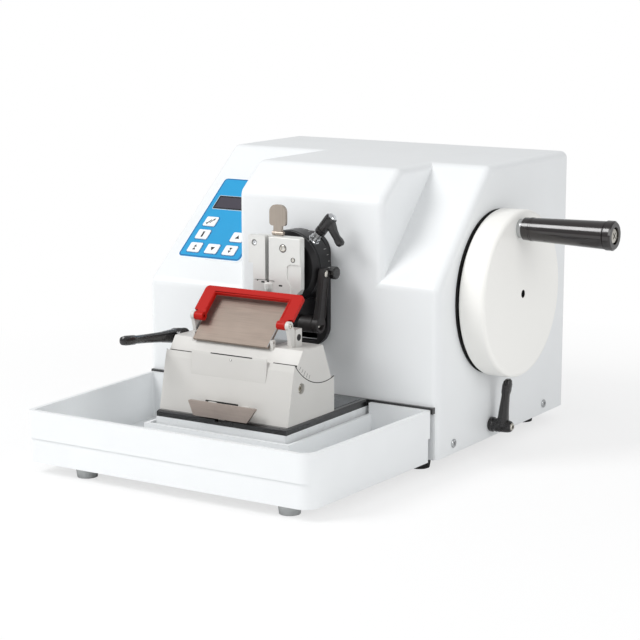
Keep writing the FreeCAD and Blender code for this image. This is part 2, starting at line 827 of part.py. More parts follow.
# Wheel lock lever and its stud
keep("lock_stud", rod_x(lock_y, lock_z, lock_stud_radius, casting_x - boss_size,
                        half_width + lock_hub_length * 0.4))
hub_x = half_width + loose_gap * 2
hub_end_x = hub_x + lock_hub_length
arm_x = hub_end_x - lock_arm_width * 1.1
arm_top = V(arm_x + lock_arm_lean, lock_y, wheel_z - wheel_radius - lock_arm_gap)
arm_bottom = V(arm_x, lock_y, lock_z)
lock = fuse(
    rod_x(lock_y, lock_z, lock_hub_radius, hub_x, hub_end_x),
    rod(arm_bottom, arm_top, lock_arm_width * 0.5, lock_arm_width * 0.42),
    Part.makeSphere(lock_arm_width * 0.5, arm_top),
)
lock = lock.cut(rod_x(lock_y, lock_z, lock_stud_radius + running_gap, hub_x - wall,
                      half_width + lock_hub_length * 0.4 + loose_gap))
keep("wheel_lock_lever", lock)

# Vertical carriage with the feed frame behind it, the yoke, the motor and the screw
carriage_z0 = head_z - carriage_height / 2
carriage_z1 = head_z + carriage_height / 2
carriage_rear_y = carriage_front_y + carriage_depth
feed_plate_rear = feed_plate_y + feed_plate_thickness
arm_half_z = 14.0
carriage = fuse(
    box(head_x - carriage_width / 2, head_x + carriage_width / 2, carriage_front_y, carriage_rear_y,
        carriage_z0, carriage_z1),
    box(head_x - feed_arm_inner, head_x - feed_arm_inner + feed_arm_thickness, carriage_rear_y,
        feed_plate_rear,
        head_z - arm_half_z, head_z + arm_half_z),
    box(head_x + feed_arm_inner - feed_arm_thickness, head_x + feed_arm_inner, carriage_rear_y,
        feed_plate_rear,
        head_z - arm_half_z, head_z + arm_half_z),
    box(head_x - feed_arm_inner, head_x + feed_arm_inner, feed_plate_y, feed_plate_rear,
        head_z - feed_arm_inner, head_z + feed_arm_inner),
)
for x in rail_xs:
    carriage = carriage.cut(rod_z(x, rail_y, rail_radius + running_gap, carriage_z0 - 1, carriage_z1 + 1))
carriage = carriage.cut(rod_y(head_x, head_z, feed_radius + running_gap, carriage_front_y - 1,
                              carriage_rear_y + 1))
carriage = carriage.cut(rod_y(head_x, head_z, feed_screw_radius + loose_gap, feed_plate_y - 1,
                              feed_plate_rear + 1))
keep("head_carriage", carriage)
yoke_right_x = pin_left_x - yoke_pin_gap
yoke_z = wheel_z + crank_radius
yoke_slot_half = crank_pin_radius + 0.5
yoke_half = yoke_slot_half + yoke_bar
yoke_y1 = wheel_y + yoke_slot_length / 2 + yoke_bar
yoke = box(yoke_right_x - yoke_thickness, yoke_right_x, carriage_rear_y, yoke_y1,
           yoke_z - yoke_half, yoke_z + yoke_half)
yoke = yoke.cut(box(yoke_right_x - yoke_thickness - 1, yoke_right_x + 1,
                    wheel_y - yoke_slot_length / 2, wheel_y + yoke_slot_length / 2,
                    yoke_z - yoke_slot_half, yoke_z + yoke_slot_half))
keep("scotch_yoke", yoke)
motor = rod_y(head_x, head_z, motor_radius, feed_plate_rear, feed_plate_rear + motor_length)
screw_rear_y = feed_plate_rear + 8.0
motor = motor.cut(rod_y(head_x, head_z, feed_screw_radius + running_gap, feed_plate_rear - 1,
                        screw_rear_y + 1))
keep("feed_motor", motor)
keep("feed_screw", rod_y(head_x, head_z, feed_screw_radius, feed_screw_front_y, screw_rear_y))
feed_bore = rod_y(head_x, head_z, feed_screw_radius + running_gap, feed_screw_front_y - 4,
                  feed_rear_y + 1)
keep("feed_cylinder", rod_y(head_x, head_z, feed_radius, disc_rear_y, feed_rear_y).cut(feed_bore))

# Orientation disc with the pocket that holds the tilting cradle
disc = rod_y(head_x, head_z, disc_radius, disc_front_y, disc_rear_y)
front_edge = [e for e in disc.Edges if on_plane(e, "y", disc_front_y)]
disc = disc.makeChamfer(disc_chamfer, front_edge)
pocket = rod_x(tilt_y, head_z, pocket_radius, head_x - pocket_half_width, head_x + pocket_half_width)
disc = disc.cut(pocket)
pin_bore = rod_x(tilt_y, head_z, cradle_pin_radius + running_gap, head_x - cradle_pin_reach - loose_gap,
                 head_x + cradle_pin_reach + loose_gap)
disc = disc.cut(pin_bore)
knob_bore = rod_x(knob_y, knob_z, knob_rod_radius + running_gap, head_x + disc_radius - 16,
                  head_x + disc_radius + 1)
disc = disc.cut(knob_bore)
radial_way = V(math.cos(math.radians(radial_angle)), 0, math.sin(math.radians(radial_angle)))
radial_start = V(head_x, radial_y, head_z)
disc = disc.cut(rod(radial_start + radial_way * radial_stud_inner,
                    radial_start + radial_way * (disc_radius + 2),
                    radial_stud_radius + seat_fit))
keep("orientation_disc", disc)
cradle_pins = rod_x(tilt_y, head_z, cradle_pin_radius, head_x - cradle_pin_reach,
                    head_x + cradle_pin_reach)
cradle_post = rod_z(head_x, tilt_y, cradle_radius, head_z - cradle_half_height,
                    head_z + cradle_half_height)
keep("tilt_cradle", fuse(cradle_post, cradle_pins))

# Bracket under the disc, the large head clamping lever and the small levers
bracket = box(head_lever_start_x - bracket_width, head_lever_start_x, head_lever_y - 6, disc_rear_y,
              head_lever_z - head_lever_hub_radius - 1, head_z - bracket_drop)
bracket = bracket.cut(rod_y(head_x, head_z, disc_radius + seat_fit, disc_front_y - 1, disc_rear_y + 1))
bracket = bracket.cut(rod_x(head_lever_y, head_lever_z, head_lever_pin_radius + running_gap, 0,
                            head_lever_end_x))
keep("lever_bracket", bracket)
lever_top_z = head_lever_z + head_lever_length
lever_inner_x = head_lever_end_x - head_lever_arm
hub_left_x = head_lever_start_x + loose_gap
head_lever = fuse(
    rod_x(head_lever_y, head_lever_z, head_lever_pin_radius, head_lever_start_x - bracket_width,
          hub_left_x + 1),
    rod_x(head_lever_y, head_lever_z, head_lever_hub_radius, hub_left_x, head_lever_end_x),
    prism("y", [(lever_inner_x, head_lever_z), (head_lever_end_x, head_lever_z),
                (head_lever_end_x + head_lever_lean, lever_top_z), (lever_inner_x + head_lever_lean,
                                                                    lever_top_z)],
          head_lever_y - head_lever_half, head_lever_y + head_lever_half, [0.0, 0.0, 2.5, 2.5]),
)
head_lever = head_lever.cut(rod_x(head_lever_y, head_lever_z, head_lever_dimple,
                                  head_lever_end_x - 3, head_lever_end_x + 1))
keep("head_clamp_lever", head_lever)
keep("radial_stud", rod(radial_start + radial_way * radial_stud_inner,
                        radial_start + radial_way * (radial_hub_start + radial_hub_length * 0.5),
                        radial_stud_radius))
hub_a = radial_start + radial_way * (radial_hub_start + loose_gap)
hub_b = radial_start + radial_way * (radial_hub_start + radial_hub_length)
across = V(math.cos(math.radians(radial_arm_angle)), 0, math.sin(math.radians(radial_arm_angle)))
arm_from = radial_start + radial_way * (radial_hub_start + radial_hub_length * 0.8)
arm_to = arm_from + across * radial_arm_length
radial_lever = fuse(
    rod(hub_a, hub_b, radial_hub_radius),
    rod(arm_from, arm_to, radial_arm_width * 0.5, radial_arm_width * 0.45),
    Part.makeSphere(radial_arm_width * 0.5, arm_to),
)
radial_bore_end = radial_start + radial_way * (radial_hub_start + radial_hub_length * 0.5 + loose_gap)
radial_lever = radial_lever.cut(rod(radial_start + radial_way * (radial_hub_start - 1), radial_bore_end,
                                    radial_stud_radius + running_gap))
keep("radial_lever", radial_lever)
keep("side_knob", fuse(
    rod_x(knob_y, knob_z, knob_rod_radius, head_x + disc_radius - 15, knob_start_x + 1),
    rod_x(knob_y, knob_z, knob_radius, knob_start_x, knob_start_x + knob_length),
))

# Specimen clamp: back plate with a collar on the cradle, a fixed jaw and a moving jaw
plate_front_y = clamp_rear_y - clamp_plate
clamp_body_x = clamp_left_x + jaw_step
clamp = box(clamp_body_x, clamp_right_x, plate_front_y, clamp_rear_y, clamp_low_z, clamp_top_z)
chamfer_edges = [e for e in clamp.Edges
                 if all(abs(v.X - clamp_right_x) < 1e-6 and abs(v.Z - clamp_low_z) < 1e-6 for v in e.Vertexes)]
clamp = clamp.makeChamfer(clamp_chamfer, chamfer_edges)
back_edges = [e for e in clamp.Edges
              if on_plane(e, "x", clamp_right_x) and on_plane(e, "y", clamp_rear_y)]
clamp = clamp.makeChamfer(clamp_back_chamfer, back_edges)
collars = [rod_z(head_x, tilt_y, collar_radius, head_z + low, head_z + high)
           for low, high in ((collar_low, collar_high), (-collar_high, -collar_low))]
web = box(head_x - web_half_width, head_x + web_half_width, clamp_rear_y, tilt_y,
          head_z - collar_high, head_z + collar_high)
fixed_jaw_x = clamp_left_x + jaw_width + jaw_slot
fixed_jaw = prism("y", [(fixed_jaw_x, clamp_low_z), (clamp_right_x - clamp_chamfer, clamp_low_z),
                        (clamp_right_x, clamp_low_z + clamp_chamfer),
                        (clamp_right_x, clamp_top_z), (fixed_jaw_x, clamp_top_z)],
                  clamp_front_y, plate_front_y)
lower_block = box(clamp_body_x, fixed_jaw_x, clamp_front_y, plate_front_y, clamp_low_z,
                  clamp_top_z - jaw_height - loose_gap * 2)
clamp = fuse(clamp, *collars, web, fixed_jaw, lower_block)
clamp = clamp.cut(rod_z(head_x, tilt_y, cradle_radius + running_gap, head_z - 20, head_z + 20))
clamp_screws = []
for right, down, radius in clamp_screw_places:
    x = clamp_right_x - right
    z = clamp_top_z - down
    clamp = clamp.cut(rod_y(x, z, radius * 0.6 + bolt_gap, clamp_front_y - 1,
                            clamp_front_y + clamp_screw_length + 1))
    clamp_screws.append(fuse(rod_y(x, z, radius * 0.6, clamp_front_y, clamp_front_y + clamp_screw_length),
                             rod_y(x, z, radius, clamp_front_y - clamp_screw_proud, clamp_front_y)))
keep("clamp_body", clamp)
keep("clamp_screws", *clamp_screws)
jaw_gap = loose_gap * 0.5
jaw_z0 = clamp_top_z - jaw_height
jaw = box(clamp_body_x, clamp_left_x + jaw_width, clamp_front_y, plate_front_y - jaw_gap, jaw_z0,
          clamp_top_z)
ear = box(clamp_left_x, clamp_body_x, clamp_front_y, plate_front_y - jaw_gap,
          clamp_top_z - jaw_ear_height, clamp_top_z)
jaw = fuse(jaw, ear)
hole_in, hole_down, hole_radius = jaw_hole
jaw = jaw.cut(rod_y(clamp_left_x + hole_in, clamp_top_z - hole_down, hole_radius,
                    clamp_front_y - 1, clamp_front_y + 2))
keep("clamp_jaw", jaw)
rod_x_place = clamp_left_x + jaw_width + jaw_slot / 2
keep("jaw_rod", rod_z(rod_x_place, plate_front_y - jaw_rod_radius, jaw_rod_radius,
                      clamp_top_z - jaw_height - loose_gap * 2, clamp_top_z - 2))
thumb_x = head_x + thumb_offset_x
thumb_y = clamp_rear_y - clamp_plate / 2
thumb_z = clamp_top_z + thumb_pin_rise
neck_top = thumb_z + thumb_neck_height
head_top = neck_top + thumb_head_height
thumb_front = thumb_y - thumb_thickness / 2
thumb_rear = thumb_y + thumb_thickness / 2
thumb = fuse(
    prism("y", [(thumb_x - thumb_head_width / 2, neck_top), (thumb_x + thumb_head_width / 2, neck_top),
                (thumb_x + thumb_head_width / 2, head_top), (thumb_x - thumb_head_width / 2, head_top)],
          thumb_front, thumb_rear, [thumb_chin_radius, thumb_chin_radius, thumb_head_radius,
                                    thumb_head_radius]),
    box(thumb_x - thumb_neck_width / 2, thumb_x + thumb_neck_width / 2, thumb_front, thumb_rear,
        thumb_z, neck_top + thumb_chin_radius),
    rod_x(thumb_y, thumb_z, thumb_pin_radius, thumb_x - thumb_pin_half, thumb_x + thumb_pin_half),
)
keep("thumb_lever", thumb)

# Blade holder base, with the round seat that the tilting body rocks in
def arc_point(y, radius):
    return (y, arc_z - math.sqrt(radius ** 2 - (y - arc_y) ** 2))


def seat_prism(points, start_y, end_y, radius, x0, x1):
    """A side outline closed by an arc of the seat between two places along Y."""
    start = V(x0, *arc_point(start_y, radius))
    end = V(x0, *arc_point(end_y, radius))
    lowest = V(x0, arc_y, arc_z - radius)
    edges = [Part.Arc(start, lowest, end).toShape()]
    corners = [end] + [V(x0, y, z) for y, z in points] + [start]
    for a, b in zip(corners, corners[1:]):
        edges.append(Part.LineSegment(a, b).toShape())
    return Part.Face(Part.Wire(edges)).extrude(V(x1 - x0, 0, 0))


knife_base = seat_prism([(knife_rear_y, plate_top_z), (knife_front_y, plate_top_z), (knife_break_y,
                                                                                     knife_break_z)],
                        knife_lip_y, knife_rear_y, arc_radius, knife_left_x, knife_right_x)
slide_key = box(groove_x - groove_width / 2 + loose_gap, groove_x + groove_width / 2 - loose_gap,
                knife_front_y, knife_rear_y, plate_top_z - key_height, plate_top_z + 1)
knife_base = fuse(knife_base, slide_key)
side_hole = rod_x(side_hole_y, side_hole_z, side_hole_radius, knife_right_x - side_hole_depth,
                  knife_right_x + 1)
knife_base = knife_base.cut(side_hole)
for x in paddle_lug_xs:
    nose = rod_x(paddle_rod_y, paddle_rod_z, 3.0, x, x + paddle_lug_width)
    lug = box(x, x + paddle_lug_width, paddle_rod_y, paddle_rod_y + 8, paddle_rod_z - 3, paddle_rod_z + 3)
    knife_base = knife_base.fuse([nose, lug])
knife_base = knife_base.removeSplitter()
paddle_bore = rod_x(paddle_rod_y, paddle_rod_z, paddle_rod_radius + running_gap, paddle_top[0],
                    paddle_top[1])
keep("knife_base", knife_base.cut(paddle_bore))
seat_radius = arc_radius - loose_gap
tilting = seat_prism([(cradle_top_rear_y, cradle_top_z), (cradle_top_front_y, cradle_top_z)],
                     cradle_front_y, cradle_rear_y, seat_radius, knife_left_x, knife_right_x)
pivot = on_blade(0, plate_pivot, plate_thickness / 2 + plate_lift)
for x in (plate_left_x - loose_gap - plate_lug_width, plate_right_x + loose_gap):
    tilting = tilting.fuse(box(x, x + plate_lug_width, pivot.y - plate_lug_half, pivot.y + plate_lug_half,
                               cradle_top_z - 5, pivot.z + plate_lug_half))
tilting = tilting.removeSplitter()
lever_bore = rod_x(blade_lever_y, blade_lever_z, blade_lever_rod_radius + running_gap,
                   knife_left_x - 1, knife_left_x + blade_lever_rod_depth + 1)
plate_pin_bore = rod_x(pivot.y, pivot.z, plate_pin_radius + running_gap, plate_left_x - 5,
                       plate_right_x + 5)
keep("tilting_body", tilting.cut(lever_bore).cut(plate_pin_bore))

# Blade seat, blade, pressure plate and finger guard
seat_top = on_blade(0, seat_start, -blade_thickness)
seat_low = on_blade(0, plate_pivot - seat_pivot_gap, -blade_thickness)
seat_outline = [(seat_top.y, seat_top.z), (seat_low.y, seat_low.z), (seat_low.y, cradle_top_z),
                (cradle_top_rear_y, cradle_top_z), (seat_top.y + seat_back, seat_top.z - seat_back - 1)]
keep("blade_seat", prism("x", seat_outline, plate_left_x + 1, plate_right_x - 1))
keep("blade", blade_block(plate_left_x + blade_margin, plate_right_x - blade_margin, 0, blade_height,
                          -blade_thickness, 0))
plate = blade_block(plate_left_x, plate_right_x, blade_margin,
                    plate_pivot + plate_overhang + plate_thickness / 2,
                    plate_lift, plate_thickness + plate_lift)
plate_pin = rod_x(pivot.y, pivot.z, plate_pin_radius, plate_left_x - plate_lug_width,
                  plate_right_x + plate_lug_width)
keep("pressure_plate", fuse(plate, plate_pin))
guard_mid = guard_lift + guard_thickness / 2
frame_outer = blade_block(guard_left_x, guard_right_x, -guard_over, guard_reach,
                          guard_lift, guard_lift + guard_thickness, [4.0, 4.0, 0.0, 0.0])
frame_inner = blade_block(guard_left_x + guard_arm, guard_right_x - guard_arm, guard_bar - guard_over,
                          guard_reach + guard_knuckle * 2,
                          guard_lift - 1, guard_lift + guard_thickness + 1)
guard = frame_outer.cut(frame_inner)
guard_pivot = on_blade(0, guard_reach, guard_mid)
guard_arms = ((guard_left_x, guard_left_x + guard_arm), (guard_right_x - guard_arm, guard_right_x))
notches = ((guard_left_x - 1, guard_left_x + lug_width + loose_gap),
           (guard_right_x - lug_width - loose_gap, guard_right_x + 1))
for x0, x1 in guard_arms:
    guard = guard.fuse(rod_x(guard_pivot.y, guard_pivot.z, guard_knuckle, x0, x1))
guard = guard.removeSplitter()
for x0, x1 in notches:
    guard = guard.cut(rod_x(guard_pivot.y, guard_pivot.z, guard_knuckle + lug_notch, x0, x1))
for x0, x1 in guard_arms:
    guard = guard.cut(rod_x(guard_pivot.y, guard_pivot.z, guard_pin_radius + running_gap, x0 - 1, x1 + 1))
keep("finger_guard", guard)
brackets = []
lug_rear_y = guard_pivot.y + post_far
for lug_x, post_x, pin_x in ((guard_left_x, guard_left_x, guard_left_x + guard_arm * 0.6),
                             (guard_right_x - lug_width, guard_right_x + 1 - post_widths[1],
                              guard_right_x - guard_arm * 0.6)):
    post_width = post_widths[0] if post_x == guard_left_x else post_widths[1]
    post = box(post_x, post_x + post_width, guard_pivot.y + post_near, lug_rear_y,
               cradle_top_z, guard_pivot.z - lug_nose_radius)
    lug = prism("x", [(guard_pivot.y + 2, cradle_top_z), (lug_rear_y, cradle_top_z),
                      (guard_pivot.y + 3, guard_pivot.z + 1), (guard_pivot.y - 3, guard_pivot.z - 1)],
                lug_x, lug_x + lug_width)
    nose = rod_x(guard_pivot.y, guard_pivot.z, lug_nose_radius, lug_x, lug_x + lug_width)
    pin = rod_x(guard_pivot.y, guard_pivot.z, guard_pin_radius, min(lug_x, pin_x), max(lug_x + lug_width,
                                                                                       pin_x))
    brackets.append(fuse(post, lug, nose, pin))
keep("guard_brackets", *brackets)

# Blade clamping lever on the left
lever_hub_x = knife_left_x - loose_gap * 2
lever_start = V(lever_hub_x - blade_lever_hub_length * 0.6, blade_lever_y, blade_lever_z)
rise = math.radians(blade_lever_rise)
lever_end = lever_start + V(0, -math.cos(rise), math.sin(rise)) * blade_lever_arm_length
blade_lever = fuse(
    rod_x(blade_lever_y, blade_lever_z, blade_lever_rod_radius,
          lever_hub_x - 1, knife_left_x + blade_lever_rod_depth),
    rod_x(blade_lever_y, blade_lever_z, blade_lever_hub_radius, lever_hub_x - blade_lever_hub_length,
          lever_hub_x),
    rod(lever_start, lever_end, blade_lever_knuckle, blade_lever_tip),
    Part.makeSphere(blade_lever_tip, lever_end),
)
keep("blade_clamp_lever", blade_lever)

# Sprung steel paddle that frees the holder to slide
paddle = prism("y", [(paddle_bottom[0], paddle_low_z), (paddle_bottom[1], paddle_low_z),
                     (paddle_top[1], paddle_high_z), (paddle_top[0], paddle_high_z)],
               paddle_y, paddle_y + paddle_thickness, 1.0)
for x in paddle_lug_xs:
    paddle = paddle.fuse(box(x - 4.3, x - 0.3, paddle_y + 1, paddle_rod_y + 3, paddle_rod_z - 3,
                             paddle_rod_z + 3))
paddle_rod = rod_x(paddle_rod_y, paddle_rod_z, paddle_rod_radius, paddle_lug_xs[0] - 2,
                   paddle_lug_xs[1] + paddle_lug_width)
keep("base_lever", fuse(paddle, paddle_rod))

# Waste tray: a wide trough round the pedestal, open behind so that it pulls off forwards
def tray_outline(inset, rear_inset):
    return [(-tray_rear_half + inset, tray_rear_y - rear_inset), (-tray_front_half + inset,
                                                                  tray_front_y + inset),
            (tray_front_half - inset, tray_front_y + inset), (tray_rear_half - inset,
                                                              tray_rear_y - rear_inset)]


def tray_block(inset, z0, z1):
    left = max(tray_left_corner - inset, 1.0)
    return prism("z", tray_outline(inset, inset), z0, z1, [wall, left, tray_right_corner - inset, wall])


tray = fuse(tray_block(0.0, tray_seam_z, tray_top_z), tray_block(tray_step, tray_bottom_z, tray_seam_z))
hollow = tray_block(tray_step + tray_wall, tray_bottom_z + tray_floor, tray_top_z + 1)
bay_left = pedestal_left_x - tray_pedestal_gap
bay_right = pedestal_right_x + tray_pedestal_gap
bay_front = pedestal_front_y - tray_pedestal_gap
bay_block = box(bay_left - tray_wall, bay_right + tray_wall, bay_front - tray_wall, tray_rear_y,
                tray_bottom_z, tray_inner_wall_z)
tray = fuse(tray.cut(hollow), bay_block.common(tray_block(tray_step, tray_bottom_z, tray_top_z)))
tray = tray.cut(box(bay_left, bay_right, bay_front, tray_rear_y + 1, 0, tray_top_z + 1))
keep("waste_tray", tray)
keep("tray_feet", *[rod(V(x, y, 0), V(x, y, tray_bottom_z), tray_foot_radius * 0.85, tray_foot_radius)
                    for x, y in tray_foot_places])

# Shift everything to the origin and write the nodes
whole = Part.makeCompound(list(nodes.values())).BoundBox
shift = V(-(whole.XMin + whole.XMax) / 2, -(whole.YMin + whole.YMax) / 2, -whole.ZMin)
print("shift", round(shift.x, 4), round(shift.y, 4), round(shift.z, 4))
print("size", round(whole.XLength, 2), round(whole.YLength, 2), round(whole.ZLength, 2))
for name, shape in nodes.items():
    shape.translate(shift)
    solids = len(shape.Solids)
    if not shape.isValid() or solids == 0:
        print("check", name, shape.isValid(), solids)
    shape.exportStep("parts/" + name + ".step")
print(len(nodes), "nodes")
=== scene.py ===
import math

import bmesh
import bpy
from mathutils import Matrix, Vector


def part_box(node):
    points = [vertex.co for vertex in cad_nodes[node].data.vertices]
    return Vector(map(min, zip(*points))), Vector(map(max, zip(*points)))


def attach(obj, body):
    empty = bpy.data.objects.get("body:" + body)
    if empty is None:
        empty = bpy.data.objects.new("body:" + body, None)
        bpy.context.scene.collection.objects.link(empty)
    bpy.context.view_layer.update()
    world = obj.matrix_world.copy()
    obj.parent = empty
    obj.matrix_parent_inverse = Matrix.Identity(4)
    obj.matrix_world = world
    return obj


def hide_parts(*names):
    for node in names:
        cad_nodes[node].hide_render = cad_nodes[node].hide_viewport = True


# A rotary microtome on a plain studio floor: a white moulded housing with a handwheel at its right,
# a specimen head in front, a blade holder on a pedestal and a waste tray round it.
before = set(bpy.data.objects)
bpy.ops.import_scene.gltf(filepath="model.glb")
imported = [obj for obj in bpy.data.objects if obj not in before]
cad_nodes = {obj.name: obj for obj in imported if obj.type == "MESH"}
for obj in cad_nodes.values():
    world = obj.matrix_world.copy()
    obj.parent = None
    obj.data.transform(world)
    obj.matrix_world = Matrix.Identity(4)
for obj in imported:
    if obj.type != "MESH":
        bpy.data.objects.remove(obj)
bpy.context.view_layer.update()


# View and light
# The camera stands where the photograph was taken, a little above and to the right of the machine.
# Two broad soft lamps and an even pale room light it as for a catalogue picture.
view_side = math.radians(32.354)
view_height = math.radians(10.705)
view_distance = 1.84682
view_target = Vector((-0.056694, 0.0153, 0.1202))
view_back = Vector((math.sin(view_side) * math.cos(view_height),
                    -math.cos(view_side) * math.cos(view_height),
                    math.sin(view_height)))
view_right = Vector((math.cos(view_side), math.sin(view_side), 0))
camera_data = bpy.data.cameras.new("camera")
camera_data.lens = 106.373
camera_data.sensor_width = 36
camera = bpy.data.objects.new("camera", camera_data)
bpy.context.scene.collection.objects.link(camera)
camera_axes = Matrix((view_right, view_back.cross(view_right), view_back)).transposed()
camera.matrix_world = Matrix.Translation(view_target + view_back * view_distance) @ camera_axes.to_4x4()
bpy.context.scene.camera = camera
bpy.context.scene.view_settings.view_transform = "Standard"
lamp_aim = Vector((0, 0, 0.1))


def soft_lamp(name, place, width, watts):
    """A round lamp aimed at the machine's middle. Its place and width are in metres."""
    lamp_data = bpy.data.lights.new(name, "AREA")
    lamp_data.shape = "DISK"
    lamp_data.size = width
    lamp_data.energy = watts
    lamp = bpy.data.objects.new(name, lamp_data)
    bpy.context.scene.collection.objects.link(lamp)
    lamp.location = place
    lamp.rotation_euler = (lamp_aim - Vector(place)).to_track_quat("-Z", "Y").to_euler()


soft_lamp("key_lamp", (-1.1, -1.5, 1.9), 1.2, 36)
soft_lamp("side_lamp", (2.2, -0.6, 1.0), 1.4, 12)


def linear(code, alpha=1.0):
    """An sRGB hex colour as the linear values that a shader takes."""
    parts = [int(code[i:i + 2], 16) / 255 for i in (1, 3, 5)]
    return [p / 12.92 if p <= 0.04045 else ((p + 0.055) / 1.055) ** 2.4 for p in parts] + [alpha]


def add(tree, kind, values):
    """Adds one node. A value goes to the input or setting of its name, and a socket is linked."""
    node = tree.nodes.new(kind)
    for key, value in values.items():
        if not isinstance(key, int) and key not in node.inputs:
            setattr(node, key, value)
        elif isinstance(value, bpy.types.NodeSocket):
            tree.links.new(value, node.inputs[key])
        else:
            node.inputs[key].default_value = value
    return node


def new_material(name):
    material = bpy.data.materials.new(name)
    material.use_nodes = True
    material.node_tree.nodes.clear()
    return material, material.node_tree


# The room lights the machine evenly with a slightly cool white, and the camera sees it as plain white.
room_level = 0.62
world = bpy.data.worlds.new("room")
bpy.context.scene.world = world
world.use_nodes = True
tree = world.node_tree
tree.nodes.clear()
room_light = add(tree, "ShaderNodeBackground", {"Color": linear("#F6F7F8"), "Strength": room_level})
room_white = add(tree, "ShaderNodeBackground", {"Color": (1, 1, 1, 1), "Strength": 1.0})
ray = add(tree, "ShaderNodeLightPath", {})
seen = add(tree, "ShaderNodeMath", {"operation": "MAXIMUM", 0: ray.outputs["Is Camera Ray"],
                                    1: ray.outputs["Is Transmission Ray"]})
room = add(tree, "ShaderNodeMixShader", {0: seen.outputs[0], 1: room_light.outputs[0],
                                         2: room_white.outputs[0]})
add(tree, "ShaderNodeOutputWorld", {"Surface": room.outputs[0]})


# Studio floor
# A matt white paper sheet under the machine that runs out of sight. It is not part of the object.
# Near the machine it keeps a soft shadow, and half a metre further out the camera sees plain white.
floor_reach = 40
shadow_until, white_from = 0.28, 0.75
least_glow = 0.66
floor_mesh = bpy.data.meshes.new("studio_floor")
floor_mesh.from_pydata([(-floor_reach, -floor_reach, 0), (floor_reach, -floor_reach, 0),
                        (floor_reach, floor_reach, 0), (-floor_reach, floor_reach, 0)], [], [(0, 1, 2, 3)])
floor = bpy.data.objects.new("studio_floor", floor_mesh)
bpy.context.scene.collection.objects.link(floor)
paper, tree = new_material("matt_paper")
spot = add(tree, "ShaderNodeNewGeometry", {})
away = add(tree, "ShaderNodeVectorMath", {"operation": "LENGTH", 0: spot.outputs["Position"]})
whiter = add(tree, "ShaderNodeMapRange", {"Value": away.outputs["Value"], "From Min": shadow_until,
                                          "From Max": white_from, "To Min": least_glow, "To Max": 1.0})
ray = add(tree, "ShaderNodeLightPath", {})
share = add(tree, "ShaderNodeMath", {"operation": "MULTIPLY", 0: ray.outputs["Is Camera Ray"],
                                     1: whiter.outputs[0]})
matt = add(tree, "ShaderNodeBsdfDiffuse", {"Color": linear("#FAFAFA")})
glow = add(tree, "ShaderNodeEmission", {"Color": (1, 1, 1, 1), "Strength": 1.0})
sheet = add(tree, "ShaderNodeMixShader", {0: share.outputs[0], 1: matt.outputs[0], 2: glow.outputs[0]})
add(tree, "ShaderNodeOutputMaterial", {"Surface": sheet.outputs[0]})
floor_mesh.materials.append(paper)


# Housing and rear cover
# One ABS shell, injection moulded in cool white with a fine spark texture, dropped over the casting.
# A flat sheet closes it behind. Every place below is in millimetres from the housing's front centre.
MM = 0.001
across, rearwards, upright = Vector((1, 0, 0)), Vector((0, 1, 0)), Vector((0, 0, 1))
housing_low, housing_high = (Vector(corner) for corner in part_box("housing_shell"))
housing_front = Vector(((housing_low.x + housing_high.x) / 2, housing_low.y, 0))
from_housing = Matrix.Translation(housing_front) @ Matrix.Scale(MM, 4)
half_width = (housing_high.x - housing_low.x) / 2 / MM
housing_depth = (Vector(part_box("rear_cover")[1]).y - housing_low.y) / MM


def per_mm(size):
    """The scale of a texture whose features are this many millimetres across."""
    return 1 / (size * MM)


# Nearly all of a noise pattern lies between these values.
noise_span = {"From Min": 0.3, "From Max": 0.7}


def skin(name, colour, roughness, grain, depth, mottle, metallic=0.0, coat=0.0, ior=1.5, smudge=0.12):
    """A moulded, painted or plated surface.

    Its fine grain is that many millimetres across and deep. The colour darkens by the mottle over broad
    patches, and handling smudges vary the gloss.
    """
    material, tree = new_material(name)
    patch_size, smudge_size = 45, 16
    place = add(tree, "ShaderNodeTexCoord", {}).outputs["Object"]
    fine = add(tree, "ShaderNodeTexNoise", {"Vector": place, "Scale": per_mm(grain), "Detail": 3.0})
    broad = add(tree, "ShaderNodeTexNoise", {"Vector": place, "Scale": per_mm(patch_size), "Detail": 2.0})
    hands = add(tree, "ShaderNodeTexNoise", {"Vector": place, "Scale": per_mm(smudge_size), "Detail": 4.0})
    tone = add(tree, "ShaderNodeMapRange", {**noise_span, "Value": broad.outputs["Fac"],
                                            "To Min": 1 - mottle, "To Max": 1.0})
    hue = add(tree, "ShaderNodeMix", {"data_type": "RGBA", "blend_type": "MULTIPLY", 0: 1.0,
                                      6: linear(colour), 7: tone.outputs[0]})
    grit = add(tree, "ShaderNodeMapRange", {**noise_span, "Value": fine.outputs["Fac"],
                                            "To Min": roughness * 0.9, "To Max": roughness * 1.1})
    gloss = add(tree, "ShaderNodeMapRange", {"Value": hands.outputs["Fac"], "From Min": 0.35, "From Max": 0.7,
                                             "To Min": 1 - smudge, "To Max": 1 + smudge})
    rough = add(tree, "ShaderNodeMath", {"operation": "MULTIPLY", 0: grit.outputs[0], 1: gloss.outputs[0]})
    relief = add(tree, "ShaderNodeBump", {"Height": fine.outputs["Fac"], "Strength": 0.5,
                                          "Distance": depth * MM})
    values = {"Base Color": hue.outputs[2], "Roughness": rough.outputs[0], "Normal": relief.outputs[0],
              "Metallic": metallic, "Coat Weight": coat, "Coat Roughness": 0.12}
    if not metallic:
        values["IOR"] = ior
    surface = add(tree, "ShaderNodeBsdfPrincipled", values)
    add(tree, "ShaderNodeOutputMaterial", {"Surface": surface.outputs[0]})
    return material


def ease_edges(piece, bevel):
    ease = piece.modifiers.new("eased_edges", "BEVEL")
    ease.width = bevel * MM
    ease.segments = 2
    ease.limit_method = "ANGLE"
    ease.angle_limit = math.radians(35)
    ease.harden_normals = True


